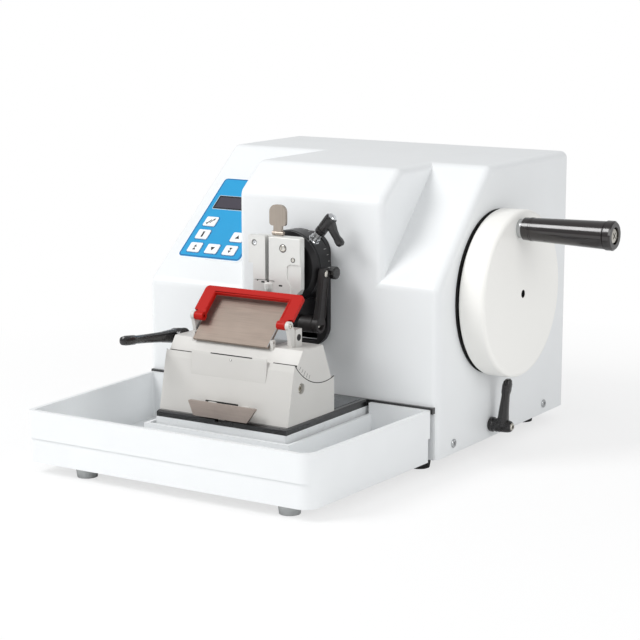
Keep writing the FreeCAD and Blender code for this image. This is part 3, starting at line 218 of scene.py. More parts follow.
def dress(node, material, bevel=0.0):
    """Gives a CAD node its finish and, where asked, eases its sharp edges by so many millimetres."""
    piece = cad_nodes[node]
    piece.data.materials.clear()
    piece.data.materials.append(material)
    if bevel:
        ease_edges(piece, bevel)


def finish_piece(name, bm, material, body, bevel=0.0, node=None):
    """Makes a piece of a mesh drawn in millimetres from the housing's front centre.

    It rides on the body. Where a CAD node is named, it stands in for that.
    """
    bmesh.ops.remove_doubles(bm, verts=bm.verts, dist=0.001)
    bmesh.ops.transform(bm, matrix=from_housing, verts=bm.verts)
    bmesh.ops.recalc_face_normals(bm, faces=bm.faces)
    mesh = bpy.data.meshes.new(name)
    bm.to_mesh(mesh)
    bm.free()
    mesh.shade_smooth()
    mesh.set_sharp_from_angle(angle=math.radians(38))
    mesh.materials.append(material)
    piece = bpy.data.objects.new(name, mesh)
    bpy.context.scene.collection.objects.link(piece)
    if bevel:
        ease_edges(piece, bevel)
    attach(piece, body)
    if node:
        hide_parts(node)


def skin_loops(bm, loops, caps=True):
    """Joins closed loops of equal length into a tube and closes its ends."""
    rows = [[bm.verts.new(point) for point in loop] for loop in loops]
    count = len(rows[0])
    for near, far in zip(rows, rows[1:]):
        for i in range(count):
            bm.faces.new((near[i], near[(i + 1) % count], far[(i + 1) % count], far[i]))
    if caps:
        bm.faces.new(rows[0])
        bm.faces.new(rows[-1])


def rounded_loop(centre, side, up, width, height, corner, steps=5):
    """A rounded rectangle across two directions."""
    corner = min(corner, width / 2, height / 2)
    points = []
    for quarter, (a, b) in enumerate(((1, 1), (-1, 1), (-1, -1), (1, -1))):
        for i in range(steps + 1):
            turn = math.pi / 2 * (quarter + i / steps)
            points.append(centre + side * (a * (width / 2 - corner) + corner * math.cos(turn))
                          + up * (b * (height / 2 - corner) + corner * math.sin(turn)))
    return points


# Injection-moulded ABS: an even cool white, satin, with a grain just too fine to count. The grain is
# drawn at 0.7 mm, coarser than the real spark texture, so that it shows.
moulded_abs = skin("moulded_abs", "#EDEFF0", 0.36, 0.7, 0.012, 0.015, smudge=0.08)
dress("housing_shell", moulded_abs)
dress("rear_cover", moulded_abs, 0.5)

# Louvres pressed outwards in the rear cover let the power supply's warm air out.
louvre_columns = (-60, 20)
louvre_rows = 7
louvre_pitch = 9
louvre_length = 60
louvre_low_z = 170
louvre_lip = Vector((0, 1.5, 1.0))
bm = bmesh.new()
for louvre_x in louvre_columns:
    for row in range(louvre_rows):
        centre = Vector((louvre_x, housing_depth, louvre_low_z + row * louvre_pitch))
        skin_loops(bm, (rounded_loop(centre, across, upright, louvre_length, 4.5, 2.2),
                        rounded_loop(centre + louvre_lip, across, upright, louvre_length - 3, 1.6, 0.8)))
finish_piece("rear_louvres", bm, moulded_abs, "base")


# Screws of the housing and rear cover
# Zinc-plated steel pan heads with a cross recess, driven into the casting and the moulded bosses.
# Bright, smooth and slightly grey.
zinc_plate = skin("zinc_plated_steel", "#C3C5C6", 0.26, 0.4, 0.004, 0.08, metallic=1.0)
dress("housing_screws", zinc_plate)
dress("cover_screws", zinc_plate)


def loop_on(outline, centre, side, up, size):
    return [centre + side * (a * size) + up * (b * size) for a, b in outline]


def halved(corners):
    """An outline with a point added in the middle of each side."""
    points = []
    for here, ahead in zip(corners, corners[1:] + corners[:1]):
        points.append(here)
        points.append(((here[0] + ahead[0]) / 2, (here[1] + ahead[1]) / 2))
    return points


cross_arm = 0.14
cross_outline = halved([(1, -cross_arm), (1, cross_arm), (cross_arm, cross_arm), (cross_arm, 1),
                        (-cross_arm, 1), (-cross_arm, cross_arm), (-1, cross_arm), (-1, -cross_arm),
                        (-cross_arm, -cross_arm), (-cross_arm, -1), (cross_arm, -1), (cross_arm, -cross_arm)])
ring_turns = [math.radians(15 * i - 15) for i in range(24)]
ring_outline = [(math.cos(turn), math.sin(turn)) for turn in ring_turns]
flat_share = 0.87
hexagon_outline = [(a * flat_share / math.cos(turn % (math.pi / 3) - math.pi / 6),
                    b * flat_share / math.cos(turn % (math.pi / 3) - math.pi / 6))
                   for turn, (a, b) in zip(ring_turns, ring_outline)]


def screw_head(bm, centre, out, radius, height, recess, outline):
    """A round head whose middle sinks in by the recess's outline."""
    centre = Vector(centre)
    out = Vector(out).normalized()
    side = out.orthogonal().normalized()
    up = out.cross(side)
    rims = ((ring_outline, 0, 1), (ring_outline, 0.55, 1), (ring_outline, 0.9, 0.88),
            (ring_outline, 1, 0.72), (outline, 1, 0.52))
    loops = [loop_on(shape, centre + out * height * rise, side, up, radius * share)
             for shape, rise, share in rims]
    loops.append(loop_on(outline, centre + out * (height - recess), side, up, radius * 0.48))
    skin_loops(bm, loops)


def mm_box(node):
    """The low and high corners of a CAD node's box, in millimetres from the housing."""
    return tuple(from_housing.inverted() @ Vector(corner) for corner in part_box(node))


screw_low, screw_high = mm_box("housing_screws")
screw_radius = (screw_high.z - screw_low.z) / 2
screw_rise = screw_high.x - half_width
screw_recess = 1.1
bm = bmesh.new()
for side in (-1, 1):
    for y in (screw_low.y + screw_radius, screw_high.y - screw_radius):
        screw_head(bm, (side * half_width, y, screw_low.z + screw_radius), (side, 0, 0),
                   screw_radius, screw_rise, screw_recess, cross_outline)
finish_piece("housing_screw_heads", bm, zinc_plate, "base", node="housing_screws")
screw_low, screw_high = mm_box("cover_screws")
cover_rise, cover_recess = 1.9, 1.3
bm = bmesh.new()
for x in (screw_low.x + screw_radius, screw_high.x - screw_radius):
    for z in (screw_low.z + screw_radius, screw_high.z - screw_radius):
        screw_head(bm, (x, housing_depth, z), rearwards, screw_radius + 0.2, cover_rise, cover_recess,
                   cross_outline)
finish_piece("cover_screw_heads", bm, zinc_plate, "base")


# Mains inlet and rocker switch
# A snap-in appliance inlet and rocker in glass-filled nylon, pushed into the rear cover from outside.
# Dead black with a dry moulded skin, bright nickel pins inside and white marks on the rocker.
glass_nylon = skin("glass_filled_nylon", "#161616", 0.5, 0.5, 0.02, 0.1)
dress("power_inlet", glass_nylon, 0.4)
dress("power_switch", glass_nylon, 0.4)
inlet_low, inlet_high = mm_box("power_inlet")
inlet_middle = (inlet_low + inlet_high) / 2
pin_offsets = ((-7.5, -1.5), (0, 2.5), (7.5, -1.5))
pin_width, pin_height = 2.0, 5.0
pin_inset = 4
bm = bmesh.new()
for sideways, above in pin_offsets:
    pin_root = Vector((inlet_middle.x + sideways, inlet_low.y + pin_inset, inlet_middle.z + above))
    skin_loops(bm, [rounded_loop(pin_root + rearwards * d, across, upright, pin_width * share,
                                 pin_height * share, 0.4) for d, share in ((0, 1), (15, 1), (16.5, 0.55))])
# Bright nickel plate: close to a mirror, with a faint warm cast.
nickel = skin("bright_nickel", "#CFCBC2", 0.18, 0.4, 0.002, 0.05, metallic=1.0)
finish_piece("inlet_pins", bm, nickel, "base")


def slab(bm, middle, side, up, out, size, corner, depths, steps=5):
    """A rounded rectangle made solid, with an outline at each depth along the way out."""
    skin_loops(bm, [rounded_loop(middle + out * d, side, up, *size, corner, steps) for d in depths])


# The rocker's marks are pad printed: a flat opaque white with no gloss of its own.
print_white = skin("pad_printed_white", "#F2F2F0", 0.5, 0.5, 0.002, 0.03)
switch_low, switch_high = mm_box("power_switch")
switch_middle = (switch_low + switch_high) / 2
mark_y = switch_high.y - 0.25
mark_aside, mark_size, mark_hole, mark_depth = 5, 5.0, 3.2, 0.2
bm = bmesh.new()
bar = Vector((switch_middle.x + mark_aside, mark_y, switch_middle.z))
slab(bm, bar, across, upright, rearwards, (1.0, mark_size), 0.3, (-mark_depth, mark_depth))
zero = Vector((switch_middle.x - mark_aside, mark_y, switch_middle.z))
skin_loops(bm, [rounded_loop(zero + rearwards * d, across, upright, width, width, width / 2)
                for d, width in ((-mark_depth, mark_size), (mark_depth, mark_size), (mark_depth, mark_hole),
                                 (-mark_depth, mark_hole), (-mark_depth, mark_size))], caps=False)
finish_piece("switch_marks", bm, print_white, "switch")


# Casting, base plate, slide sheet and feet
# A stove-enamelled iron casting carries everything. The base plate on it is steel in black enamel with
# a ground sheet let in behind the blade holder, and four moulded rubber feet stand under the corners.

# White stove enamel on iron: cool and glossier than the housing, with a soft ripple.
dress("base_casting", skin("stove_enamel_white", "#E8EAEB", 0.3, 0.9, 0.01, 0.03))
# Black stove enamel on steel: hard and nearly mirror smooth, so it shows grey where it reflects the room.
black_enamel = skin("black_stove_enamel", "#1E1E1F", 0.24, 0.9, 0.006, 0.1, coat=0.5)
dress("base_plate", black_enamel, 0.3)
sheet_left_x, sheet_right_x = -44, 86
sheet_front_y, sheet_rear_y = -57.5, -5
sheet_proud = 0.3
plate_top_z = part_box("base_plate")[1][2] / MM
sheet_middle = Vector(((sheet_left_x + sheet_right_x) / 2, (sheet_front_y + sheet_rear_y) / 2, plate_top_z))
bm = bmesh.new()
slab(bm, sheet_middle, across, rearwards, upright,
     (sheet_right_x - sheet_left_x, sheet_rear_y - sheet_front_y), 2, (0, sheet_proud))
# Ground steel: a mid grey metal that blurs what it reflects.
ground_steel = skin("ground_steel_sheet", "#8B8E91", 0.3, 0.5, 0.004, 0.08, metallic=0.9)
finish_piece("slide_sheet", bm, ground_steel, "base")
# Moulded rubber: matt, almost black, with a dry bloom.
rubber = skin("moulded_rubber", "#1A1A1A", 0.72, 0.6, 0.03, 0.12)
dress("rubber_feet", rubber, 0.8)


# Slot plate
# A black anodised aluminium plate with round ends, screwed to the housing round the head's slot.
# Anodising leaves a fine dry satin that catches a grey edge light.
black_anodised = skin("black_anodised_aluminium", "#1D1C1E", 0.42, 0.45, 0.006, 0.1, metallic=0.25)
dress("slot_plate", black_anodised, 1.2)


# Control panel, display and keys
# A reverse-printed polyester overlay in clear blue on the sloping console, with a white margin and a
# darker blue line round it, a tinted acrylic window and six white film keys with black symbols.
console_foot_z = 153.6
console_run = 149.5
console_angle = math.atan2(housing_high.z / MM - console_foot_z, console_run)
slope_up = Vector((0, math.cos(console_angle), math.sin(console_angle)))
slope_out = Vector((0, -math.sin(console_angle), math.cos(console_angle)))
# The left, right, lower and upper edge of the overlay and of its window, up the slope from its foot.
panel_edges, panel_corner = (-147.0, -73.0, 33.0, 142.0), 4
window_edges, window_corner = (-140.2, -79.8, 99.0, 117.0), 0.8
panel_top, window_top, cap_top = 1.2, 1.6, 2.1
print_lift = 0.04


def on_console(x, s, n):
    return Vector((x, 0, console_foot_z)) + slope_up * s + slope_out * n


def console_ring(bm, edges, corner, outside, inside, low, high):
    """A flat frame round a rectangle of the console, from outside its line to inside it."""
    left, right, foot, head = edges
    middle = on_console((left + right) / 2, (foot + head) / 2, 0)
    loops = []
    for grow, lift in ((outside, low), (outside, high), (inside, high), (inside, low), (outside, low)):
        loops.append(rounded_loop(middle + slope_out * lift, across, slope_up, right - left + 2 * grow,
                                  head - foot + 2 * grow, max(corner + grow, 0.3)))
    skin_loops(bm, loops, caps=False)


# Printed polyester: an even bright blue, satin, with a very fine matt texture. The white margin is the
# clean film, and the lines are a deeper blue in the same satin.
dress("control_panel", skin("printed_polyester_blue", "#0F9CD4", 0.5, 0.5, 0.005, 0.04, smudge=0.15))
bm = bmesh.new()
console_ring(bm, panel_edges, panel_corner, 1.7, 0.02, 0.0, 0.5)
finish_piece("overlay_white_margin", bm, skin("printed_polyester_white", "#F6F8F9", 0.42, 0.5, 0.004, 0.02),
             "base")
overlay_dark = skin("printed_polyester_dark_blue", "#0B6DA8", 0.4, 0.5, 0.005, 0.05)
key_width, key_length, key_corner = 14.5, 12.5, 1.5
key_first = (panel_edges[0] + 15.0, panel_edges[2] + 11.6)
key_pitch = (21.3, 18.0)
key_cells = {"key_left": (0, 0), "key_down": (1, 0), "key_right": (2, 0), "key_run": (0, 1),
             "key_up": (2, 1), "key_slash": (0, 2)}
key_middles = {name: (key_first[0] + column * key_pitch[0], key_first[1] + row * key_pitch[1])
               for name, (column, row) in key_cells.items()}
bm = bmesh.new()
console_ring(bm, panel_edges, panel_corner, -0.1, -1.5, panel_top, panel_top + print_lift)
for x, s in key_middles.values():
    key_edges = (x - key_width / 2, x + key_width / 2, s - key_length / 2, s + key_length / 2)
    console_ring(bm, key_edges, key_corner, 0.9, 0.25, panel_top, panel_top + print_lift)
finish_piece("overlay_dark_lines", bm, overlay_dark, "base")

# Smoke-tinted acrylic over an unlit display: dark violet grey and glossy, in a black printed frame. Round it
# a thin pale line is a painted highlight where its cut edge catches the light.
dress("display_window", skin("smoke_tinted_acrylic", "#3C3743", 0.1, 0.8, 0.001, 0.12, coat=0.4))
bm = bmesh.new()
console_ring(bm, window_edges, window_corner, 0.0, -1.7, window_top, window_top + print_lift)
finish_piece("display_black_frame", bm, skin("printed_black_frame", "#100F12", 0.25, 0.6, 0.002, 0.05),
             "base")
bm = bmesh.new()
console_ring(bm, window_edges, window_corner, 0.8, 0.05, panel_top, panel_top + 0.25)
finish_piece("display_edge_highlight", bm, skin("painted_edge_highlight", "#BFD6E4", 0.35, 0.5, 0.002, 0.05),
             "base")

# White film keys: satin and faintly dished by their domes, with symbols in a flat black ink.
key_film = skin("white_key_film", "#F4F6F7", 0.44, 0.5, 0.004, 0.02)
key_ink = skin("black_key_ink", "#18181A", 0.5, 0.5, 0.002, 0.05)


def triangle(x, size, way):
    return [(x - size * 0.5, -size * 0.42 * way), (x + size * 0.5, -size * 0.42 * way), (x, size * 0.5 * way)]


def slanted_stroke(x, low, high, lean, width):
    return [(x - width / 2 - lean, low), (x + width / 2 - lean, low), (x + width / 2 + lean, high),
            (x - width / 2 + lean, high)]


def arrow_tip(x, s, way, size):
    return [(x - size, s - size * 0.3 * way), (x + size * 0.4, s - size * way),
            (x + size * 0.6, s + size * way)]


key_symbols = {
    "key_left": [[(a, b + d) for a, b in triangle(0, 3.6, 1)] for d in (-1.9, 1.9)],
    "key_right": [[(a, b + d) for a, b in triangle(0, 3.6, -1)] for d in (-1.9, 1.9)],
    "key_down": [triangle(0, 5.0, -1)],
    "key_up": [triangle(0, 5.0, 1)],
    "key_run": [slanted_stroke(0, -3.8, 3.8, 0, 2.1)],
    "key_slash": [slanted_stroke(-1.5, -3.2, 2.2, 1.7, 1.3), slanted_stroke(1.5, -2.2, 3.2, 1.7, 1.3),
                  arrow_tip(-3.4, -3.0, -1, 1.6), arrow_tip(3.4, 3.0, 1, 1.6)],
}
for name, (x, s) in key_middles.items():
    dress(name, key_film, 0.35)
    bm = bmesh.new()
    for outline in key_symbols[name]:
        skin_loops(bm, [[on_console(x + a, s + b, lift) for a, b in outline]
                        for lift in (cap_top, cap_top + print_lift)])
    finish_piece(name.replace("key", "symbol"), bm, key_ink, name + "_body")

# Boards behind the panel and inside the housing: glass epoxy under a green solder mask.
board_mask = skin("green_solder_mask", "#1F5C38", 0.38, 0.6, 0.01, 0.2)
dress("keypad_board", board_mask)
dress("control_board", board_mask)


# Frames and drive inside the housing
# Machined aluminium plates carry the shaft bearings and the rails of the vertical slide. The slide,
# crank and yoke are steel, and the power supply is a folded zinc-coated case. Milled faces are a dull
# silver, ground ones mirror the light, and phosphated ones are a dark slate grey.
machined = skin("machined_aluminium", "#B4B6B8", 0.36, 0.5, 0.006, 0.08, metallic=1.0)
for name in ("bearing_frame", "rail_frame", "head_carriage"):
    dress(name, machined, 0.5)
ground = skin("ground_bearing_steel", "#C6C8CA", 0.18, 0.4, 0.002, 0.05, metallic=1.0)
for name in ("guide_rails", "drive_shaft", "shaft_bearings", "feed_screw", "feed_cylinder", "tilt_cradle"):
    dress(name, ground)
blued = skin("phosphated_steel", "#4A4B4E", 0.4, 0.5, 0.006, 0.1, metallic=0.9)
for name in ("crank_disc", "scotch_yoke"):
    dress(name, blued, 0.4)
dress("power_supply", zinc_plate, 0.6)
dress("feed_motor", black_anodised, 0.6)


# Handwheel
# A cast and turned wheel, sprayed in a warm white two-pack paint. Its bore ends in a near-black cup of
# painted shade, and a dead-black ring of painted shade fills the gap to the housing behind it.
# Two-pack paint: smooth, slightly creamy, with a soft broad highlight and faint orange peel.
wheel_paint = skin("two_pack_warm_white", "#F6F5F1", 0.34, 0.9, 0.005, 0.006, coat=0.05, smudge=0.04)
dress("handwheel", wheel_paint)
wheel_low, wheel_high = mm_box("handwheel")
wheel_centre = (wheel_low + wheel_high) / 2
wheel_radius = (wheel_high.z - wheel_low.z) / 2
gap_ring_inner, hub_hole_radius = 66, 3.9


def lathe(bm, start, along, profile, steps=64):
    """Turns pairs of distance and radius about a line. A radius of nothing closes the form."""
    start = Vector(start)
    along = Vector(along).normalized()
    side = along.orthogonal().normalized()
    up = along.cross(side)
    turns = [2 * math.pi * i / steps for i in range(steps)]
    rows = []
    for distance, radius in profile:
        centre = start + along * distance
        if radius:
            rows.append([bm.verts.new(centre + (side * math.cos(turn) + up * math.sin(turn)) * radius)
                         for turn in turns])
        else:
            rows.append([bm.verts.new(centre)] * steps)
    for near, far in zip(rows, rows[1:]):
        for i in range(steps):
            corners = []
            for corner in (near[i], near[(i + 1) % steps], far[(i + 1) % steps], far[i]):
                if corner not in corners:
                    corners.append(corner)
            if len(corners) > 2:
                bm.faces.new(corners)


# Painted shade: a dead-black ring with no highlight at all, in the gap between the wheel and the housing.
gap_shade_black = skin("painted_gap_shade_black", "#0D0D0D", 0.9, 0.8, 0.05, 0.1)
bm = bmesh.new()
lathe(bm, (half_width, wheel_centre.y, wheel_centre.z), across,
      [(0.1, gap_ring_inner), (0.1, wheel_radius - 1.2), (1.2, wheel_radius - 1.2), (1.5, wheel_radius - 1.6),
       (1.5, gap_ring_inner), (0.1, gap_ring_inner)], 128)
finish_piece("wheel_gap_shade_ring", bm, gap_shade_black, "base")
# Painted shade: a near-black cup in the bore, so dark that the bore reads as a hole.
bore_shade_black = skin("painted_bore_shade_black", "#070707", 0.55, 0.4, 0.004, 0.05)
bm = bmesh.new()
lathe(bm, (wheel_high.x, wheel_centre.y, wheel_centre.z), (-1, 0, 0),
      [(0.2, hub_hole_radius), (0.2, hub_hole_radius - 0.25), (3.6, hub_hole_radius - 0.4), (3.6, 1.6),
       (4.4, 0), (4.8, 0), (4.8, hub_hole_radius), (0.2, hub_hole_radius)], 48)
finish_piece("wheel_hub_socket", bm, bore_shade_black, "wheel")


# Wheel grip
# A revolving handle turned from black phenolic and polished, tapering towards the wheel, with a bead
# at its outer end. It spins on a steel spindle whose cross-head screw shows in the end.
# Polished phenolic: near black with a brown cast, hard gloss, thin streaks of reflected light.
phenolic = skin("polished_phenolic", "#150C0B", 0.2, 1.2, 0.003, 0.2, coat=0.6, smudge=0.25)
dress("grip", phenolic)
dress("grip_spindle", zinc_plate)
grip_low, grip_high = mm_box("grip")
grip_centre = (grip_low + grip_high) / 2
spindle_end_x = mm_box("grip_spindle")[1].x
bm = bmesh.new()
screw_head(bm, (spindle_end_x, grip_centre.y, grip_centre.z), across, 7.4, 2.2, 1.5, cross_outline)
finish_piece("grip_screw", bm, nickel, "wheel")
grip_foot_radius, grip_taper = 10.7, 0.026
bm = bmesh.new()
for x in (grip_low.x + 7.5, grip_low.x + 9.3):
    waist = grip_foot_radius + (x - grip_low.x) * grip_taper
    lathe(bm, (x, grip_centre.y, grip_centre.z), across,
          [(0, waist - 0.4), (0.15, waist + 0.22), (0.55, waist + 0.22), (0.7, waist - 0.4),
           (0, waist - 0.4)])
finish_piece("grip_turned_beads", bm, phenolic, "wheel_grip")


# Clamping levers
# Die-cast zinc levers in black epoxy, each on a splined hub whose screw shows at the end. The wheel
# lock stands low on the right, the blade clamp points forwards at the left of the blade holder.
# Epoxy on zinc: jet black and half gloss, with a slight orange peel that breaks up the highlight.
epoxy = skin("black_epoxy_on_zinc", "#191718", 0.27, 1.6, 0.012, 0.12, coat=0.25, smudge=0.2)
standing_arm = ((0.0, 1.9, 1.5), (0.1, 1.8, 1.42), (0.3, 1.55, 1.25), (0.5, 1.35, 1.1), (0.66, 1.25, 1.02),
                (0.72, 1.5, 1.16), (0.86, 1.55, 1.2), (0.95, 1.25, 1.0), (0.99, 0.75, 0.6))
reaching_arm = ((0.0, 1.7, 1.4), (0.12, 1.55, 1.3), (0.3, 1.2, 1.1), (0.55, 1.02, 0.95), (0.76, 0.94, 0.88),
                (0.79, 1.1, 1.05), (0.93, 1.12, 1.08), (0.985, 0.95, 0.92), (1.0, 0.5, 0.5))
# From foot to tip: share of the hub's length and of its radius.
hub_profile = ((0, 0), (0, 0.98), (0.03, 1.02), (0.15, 1.02), (0.18, 0.9), (0.24, 0.9), (0.3, 0.96),
               (0.82, 0.86), (0.94, 0.76), (1, 0.6), (1, 0))


def lever_arm(bm, start, way, out, lean, length, unit, sections):
    """An arm lofted from rounded sections: fraction along it, width and thickness in units."""
    start = Vector(start)
    way = Vector(way).normalized()
    out = Vector(out).normalized()
    side = way.cross(out).normalized()
    loops = []
    for part, width, thickness in sections:
        middle = start + way * (length * part) + out * (lean * part ** 1.5)
        loops.append(rounded_loop(middle, side, out, width * unit, thickness * unit,
                                  min(width, thickness) * unit * 0.45, 4))
    skin_loops(bm, loops)


def clamping_lever(name, node, body, foot, out, hub, reach, way, arm_length, lean, sections):
    """The hub, the arm a share of the way along it, and the bright screw at its end."""
    radius, length = hub
    foot = Vector(foot)
    out = Vector(out).normalized()
    bm = bmesh.new()
    lathe(bm, foot, out, [(length * part, radius * share) for part, share in hub_profile])
    lever_arm(bm, foot + out * (length * reach), way, out, lean, arm_length, radius, sections)
    finish_piece(name, bm, epoxy, body, node=node)
    bm = bmesh.new()
    screw_head(bm, foot + out * (length - 0.4), out, radius * 0.52, 1.6, 1.2, hexagon_outline)
    finish_piece(name + "_screw", bm, nickel, body)


dress("lock_stud", zinc_plate)
lock_y, lock_z = 107, 25
clamping_lever("wheel_lock_handle", "wheel_lock_lever", "wheel_lock", (half_width + 0.6, lock_y, lock_z),
               across, hub=(7.0, 22.6), reach=0.57, way=upright, arm_length=47.0, lean=5.0,
               sections=standing_arm)
blade_lever_y, blade_lever_z = -95, 122
blade_lever_rise = math.radians(6)
blade_lever_way = (0, -math.cos(blade_lever_rise), math.sin(blade_lever_rise))
bm = bmesh.new()
lathe(bm, (-50.4, blade_lever_y, blade_lever_z), across, [(0, 4.0), (29, 4.0), (30, 3.2), (30, 0)])
finish_piece("blade_lever_shaft", bm, zinc_plate, "blade_lever")
clamping_lever("blade_clamp_handle", "blade_clamp_lever", "blade_lever",
               (-50.6, blade_lever_y, blade_lever_z), (-1, 0, 0), hub=(8.0, 16.0), reach=0.6,
               way=blade_lever_way, arm_length=82.5, lean=0, sections=reaching_arm)


# Orientation disc with its levers
# A turned aluminium disc, black anodised, carries the tilting specimen clamp. A bracket under it holds
# the long clamping lever, a smaller lever stands on its rim and a short knob locks its right side.
# Anodising leaves the turned faces a satin black, and the engraved degree marks are filled pale grey.
disc_black = skin("turned_black_anodised", "#1B1A1C", 0.34, 0.5, 0.005, 0.1, metallic=0.35)
dress("orientation_disc", disc_black, 0.4)
dress("lever_bracket", disc_black, 0.6)
dress("radial_stud", zinc_plate)
disc_low, disc_high = mm_box("orientation_disc")
disc_centre = (disc_low + disc_high) / 2
disc_radius = (disc_high.z - disc_low.z) / 2
rim_angle = math.radians(48.5)
tick_count, tick_gap_at_rim_lever = 36, 0.16
bm = bmesh.new()
for tick in range(tick_count):
    turn = 2 * math.pi * tick / tick_count
    outward = Vector((math.cos(turn), 0, math.sin(turn)))
    length = 4.0 if tick % 3 == 0 else 2.4
    middle = Vector((disc_centre.x, disc_high.y - 2 - length / 2, disc_centre.z)) + outward * disc_radius
    if outward.z > -0.5 and abs(turn - rim_angle) > tick_gap_at_rim_lever:
        slab(bm, middle, outward.cross(rearwards), rearwards, outward, (0.35, length), 0.1, (-0.2, 0.05), 1)
finish_piece("disc_degree_marks", bm, skin("engraved_filled_marks", "#C9C9C6", 0.5, 0.5, 0.002, 0.05),
             "head")
bm = bmesh.new()
lathe(bm, (disc_centre.x, disc_low.y, disc_centre.z), rearwards,
      [(7.0, disc_radius - 0.5), (7.2, disc_radius + 0.35), (9.6, disc_radius + 0.35),
       (9.8, disc_radius - 0.5), (7.0, disc_radius - 0.5)], 96)
finish_piece("disc_bead", bm, disc_black, "head")

# The long lever: a turned hub along its pin, and a flat arm that leans outwards as it rises, with a
# raised rim and a domed boss at its top. Glass-filled nylon is a dry black with a fine dusty grain.
lever_nylon = skin("glass_filled_nylon_black", "#1F1B1B", 0.52, 0.8, 0.02, 0.1)
lever_foot = Vector((38.3, -32, 134))
lever_pin_x = 26
lever_rise, lever_lean, lever_length = 53.0, 6.0, 53.3
arm_middle_x, boss_reach, rim_inset = 56.0, 49.0, 1.1
bm = bmesh.new()
lathe(bm, lever_foot, across,
      [(0, 0), (0, 7.6), (0.5, 8.0), (13.6, 8.0), (14.0, 7.3), (15.0, 7.3), (15.4, 8.0), (20.2, 8.0),
       (20.7, 7.5), (20.7, 5.2), (17.5, 4.2), (17.5, 0)])
lathe(bm, (lever_pin_x, lever_foot.y, lever_foot.z), across,
      [(0, 0), (0, 3.6), (0.4, 4.0), (12.4, 4.0), (12.4, 0)], 40)
lean_way = Vector((lever_lean, 0, lever_rise)).normalized()
lean_out = Vector((lever_rise, 0, -lever_lean)).normalized()
foot = Vector((arm_middle_x, lever_foot.y, lever_foot.z))
arm_sections = ((0.0, 13.0, 6.4), (0.12, 12.2, 6.4), (0.3, 11.0, 6.4), (0.55, 10.4, 6.2), (0.8, 10.8, 6.2),
                (0.93, 11.4, 6.2), (0.985, 9.6, 5.6), (1.0, 7.0, 4.4))
skin_loops(bm, [rounded_loop(foot + lean_way * (lever_length * part), rearwards, lean_out, width, thickness,
                             1.6, 4) for part, width, thickness in arm_sections])
for side in (-1, 1):
    rim_loops = []
    for part, width, thickness in arm_sections[1:-2]:
        middle = foot + lean_way * (lever_length * part) + rearwards * (side * (width / 2 - rim_inset))
        rim_loops.append(rounded_loop(middle + lean_out * (thickness / 2), rearwards, lean_out,
                                      1.3, 1.4, 0.5, 3))
    skin_loops(bm, rim_loops)
finish_piece("head_clamp_handle", bm, lever_nylon, "head_lever", node="head_clamp_lever")
bm = bmesh.new()
boss_place = foot + lean_way * boss_reach + lean_out * 2.7
lathe(bm, boss_place, lean_out, [(-1, 0), (-1, 3.2), (0.8, 3.2), (1.3, 2.6), (1.6, 1.2), (1.6, 0)], 32)
lathe(bm, lever_foot + across * 17.4, across, [(0, 0), (0, 3.0), (1.4, 3.0), (1.8, 2.4), (1.8, 0)], 32)
finish_piece("head_clamp_bosses", bm, nickel, "head_lever")

# The rim lever: a stubby body that tapers inwards, with one flat finger arm, between a bright collar and a
# bright cap. Chrome plate is a cold, nearly perfect mirror.
chrome = skin("chromed_steel", "#D8DADC", 0.08, 0.5, 0.001, 0.04, metallic=1.0)
rim_way = Vector((math.cos(rim_angle), 0, math.sin(rim_angle)))
rim_arm_angle = math.radians(-60)
rim_arm_way = Vector((math.cos(rim_arm_angle), 0, math.sin(rim_arm_angle)))
rim_start = Vector((disc_centre.x, -22, disc_centre.z))
rim_body_from, rim_finger_from, rim_cap_from = 44.3, 60.38, 64.7
bm = bmesh.new()
lathe(bm, rim_start + rim_way * rim_body_from, rim_way,
      [(0, 4.1), (0, 5.0), (0.6, 5.4), (4.4, 5.4), (4.8, 4.5), (6.2, 4.5), (6.6, 5.4), (17.6, 5.9),
       (19.8, 5.6), (20.6, 4.6), (20.6, 0)])
rim_side = rim_arm_way.cross(rearwards)
rim_root = rim_start + rim_way * rim_finger_from
finger_sections = ((-4, 8, 7, 0), (0, 9.6, 7.6, 0), (6, 8.6, 6.6, -0.4), (12, 7.0, 6.0, -0.8),
                   (17, 6.4, 5.6, -0.6), (21, 7.6, 6.4, 0), (24, 7.4, 6.2, 0.2), (26, 4.6, 4.2, 0.2))
skin_loops(bm, [rounded_loop(rim_root + rim_arm_way * reach + rim_side * bow, rim_side, rearwards,
                             width, thickness, 1.8, 4) for reach, width, thickness, bow in finger_sections])
finish_piece("rim_handle", bm, epoxy, "rim_lever", node="radial_lever")
bm = bmesh.new()
lathe(bm, rim_start + rim_way * rim_cap_from, rim_way,
      [(0, 0), (0, 4.2), (0.8, 4.4), (1.9, 3.6), (2.6, 2.0), (2.8, 0)], 40)
finish_piece("rim_handle_cap", bm, chrome, "rim_lever")
bm = bmesh.new()
lathe(bm, rim_start + rim_way * (disc_radius - 1.2), rim_way,
      [(0, 0), (0, 5.6), (2.4, 5.6), (3.0, 4.9), (5.6, 4.9), (6.0, 4.3), (6.0, 0)], 40)
finish_piece("rim_stud_collar", bm, chrome, "head")

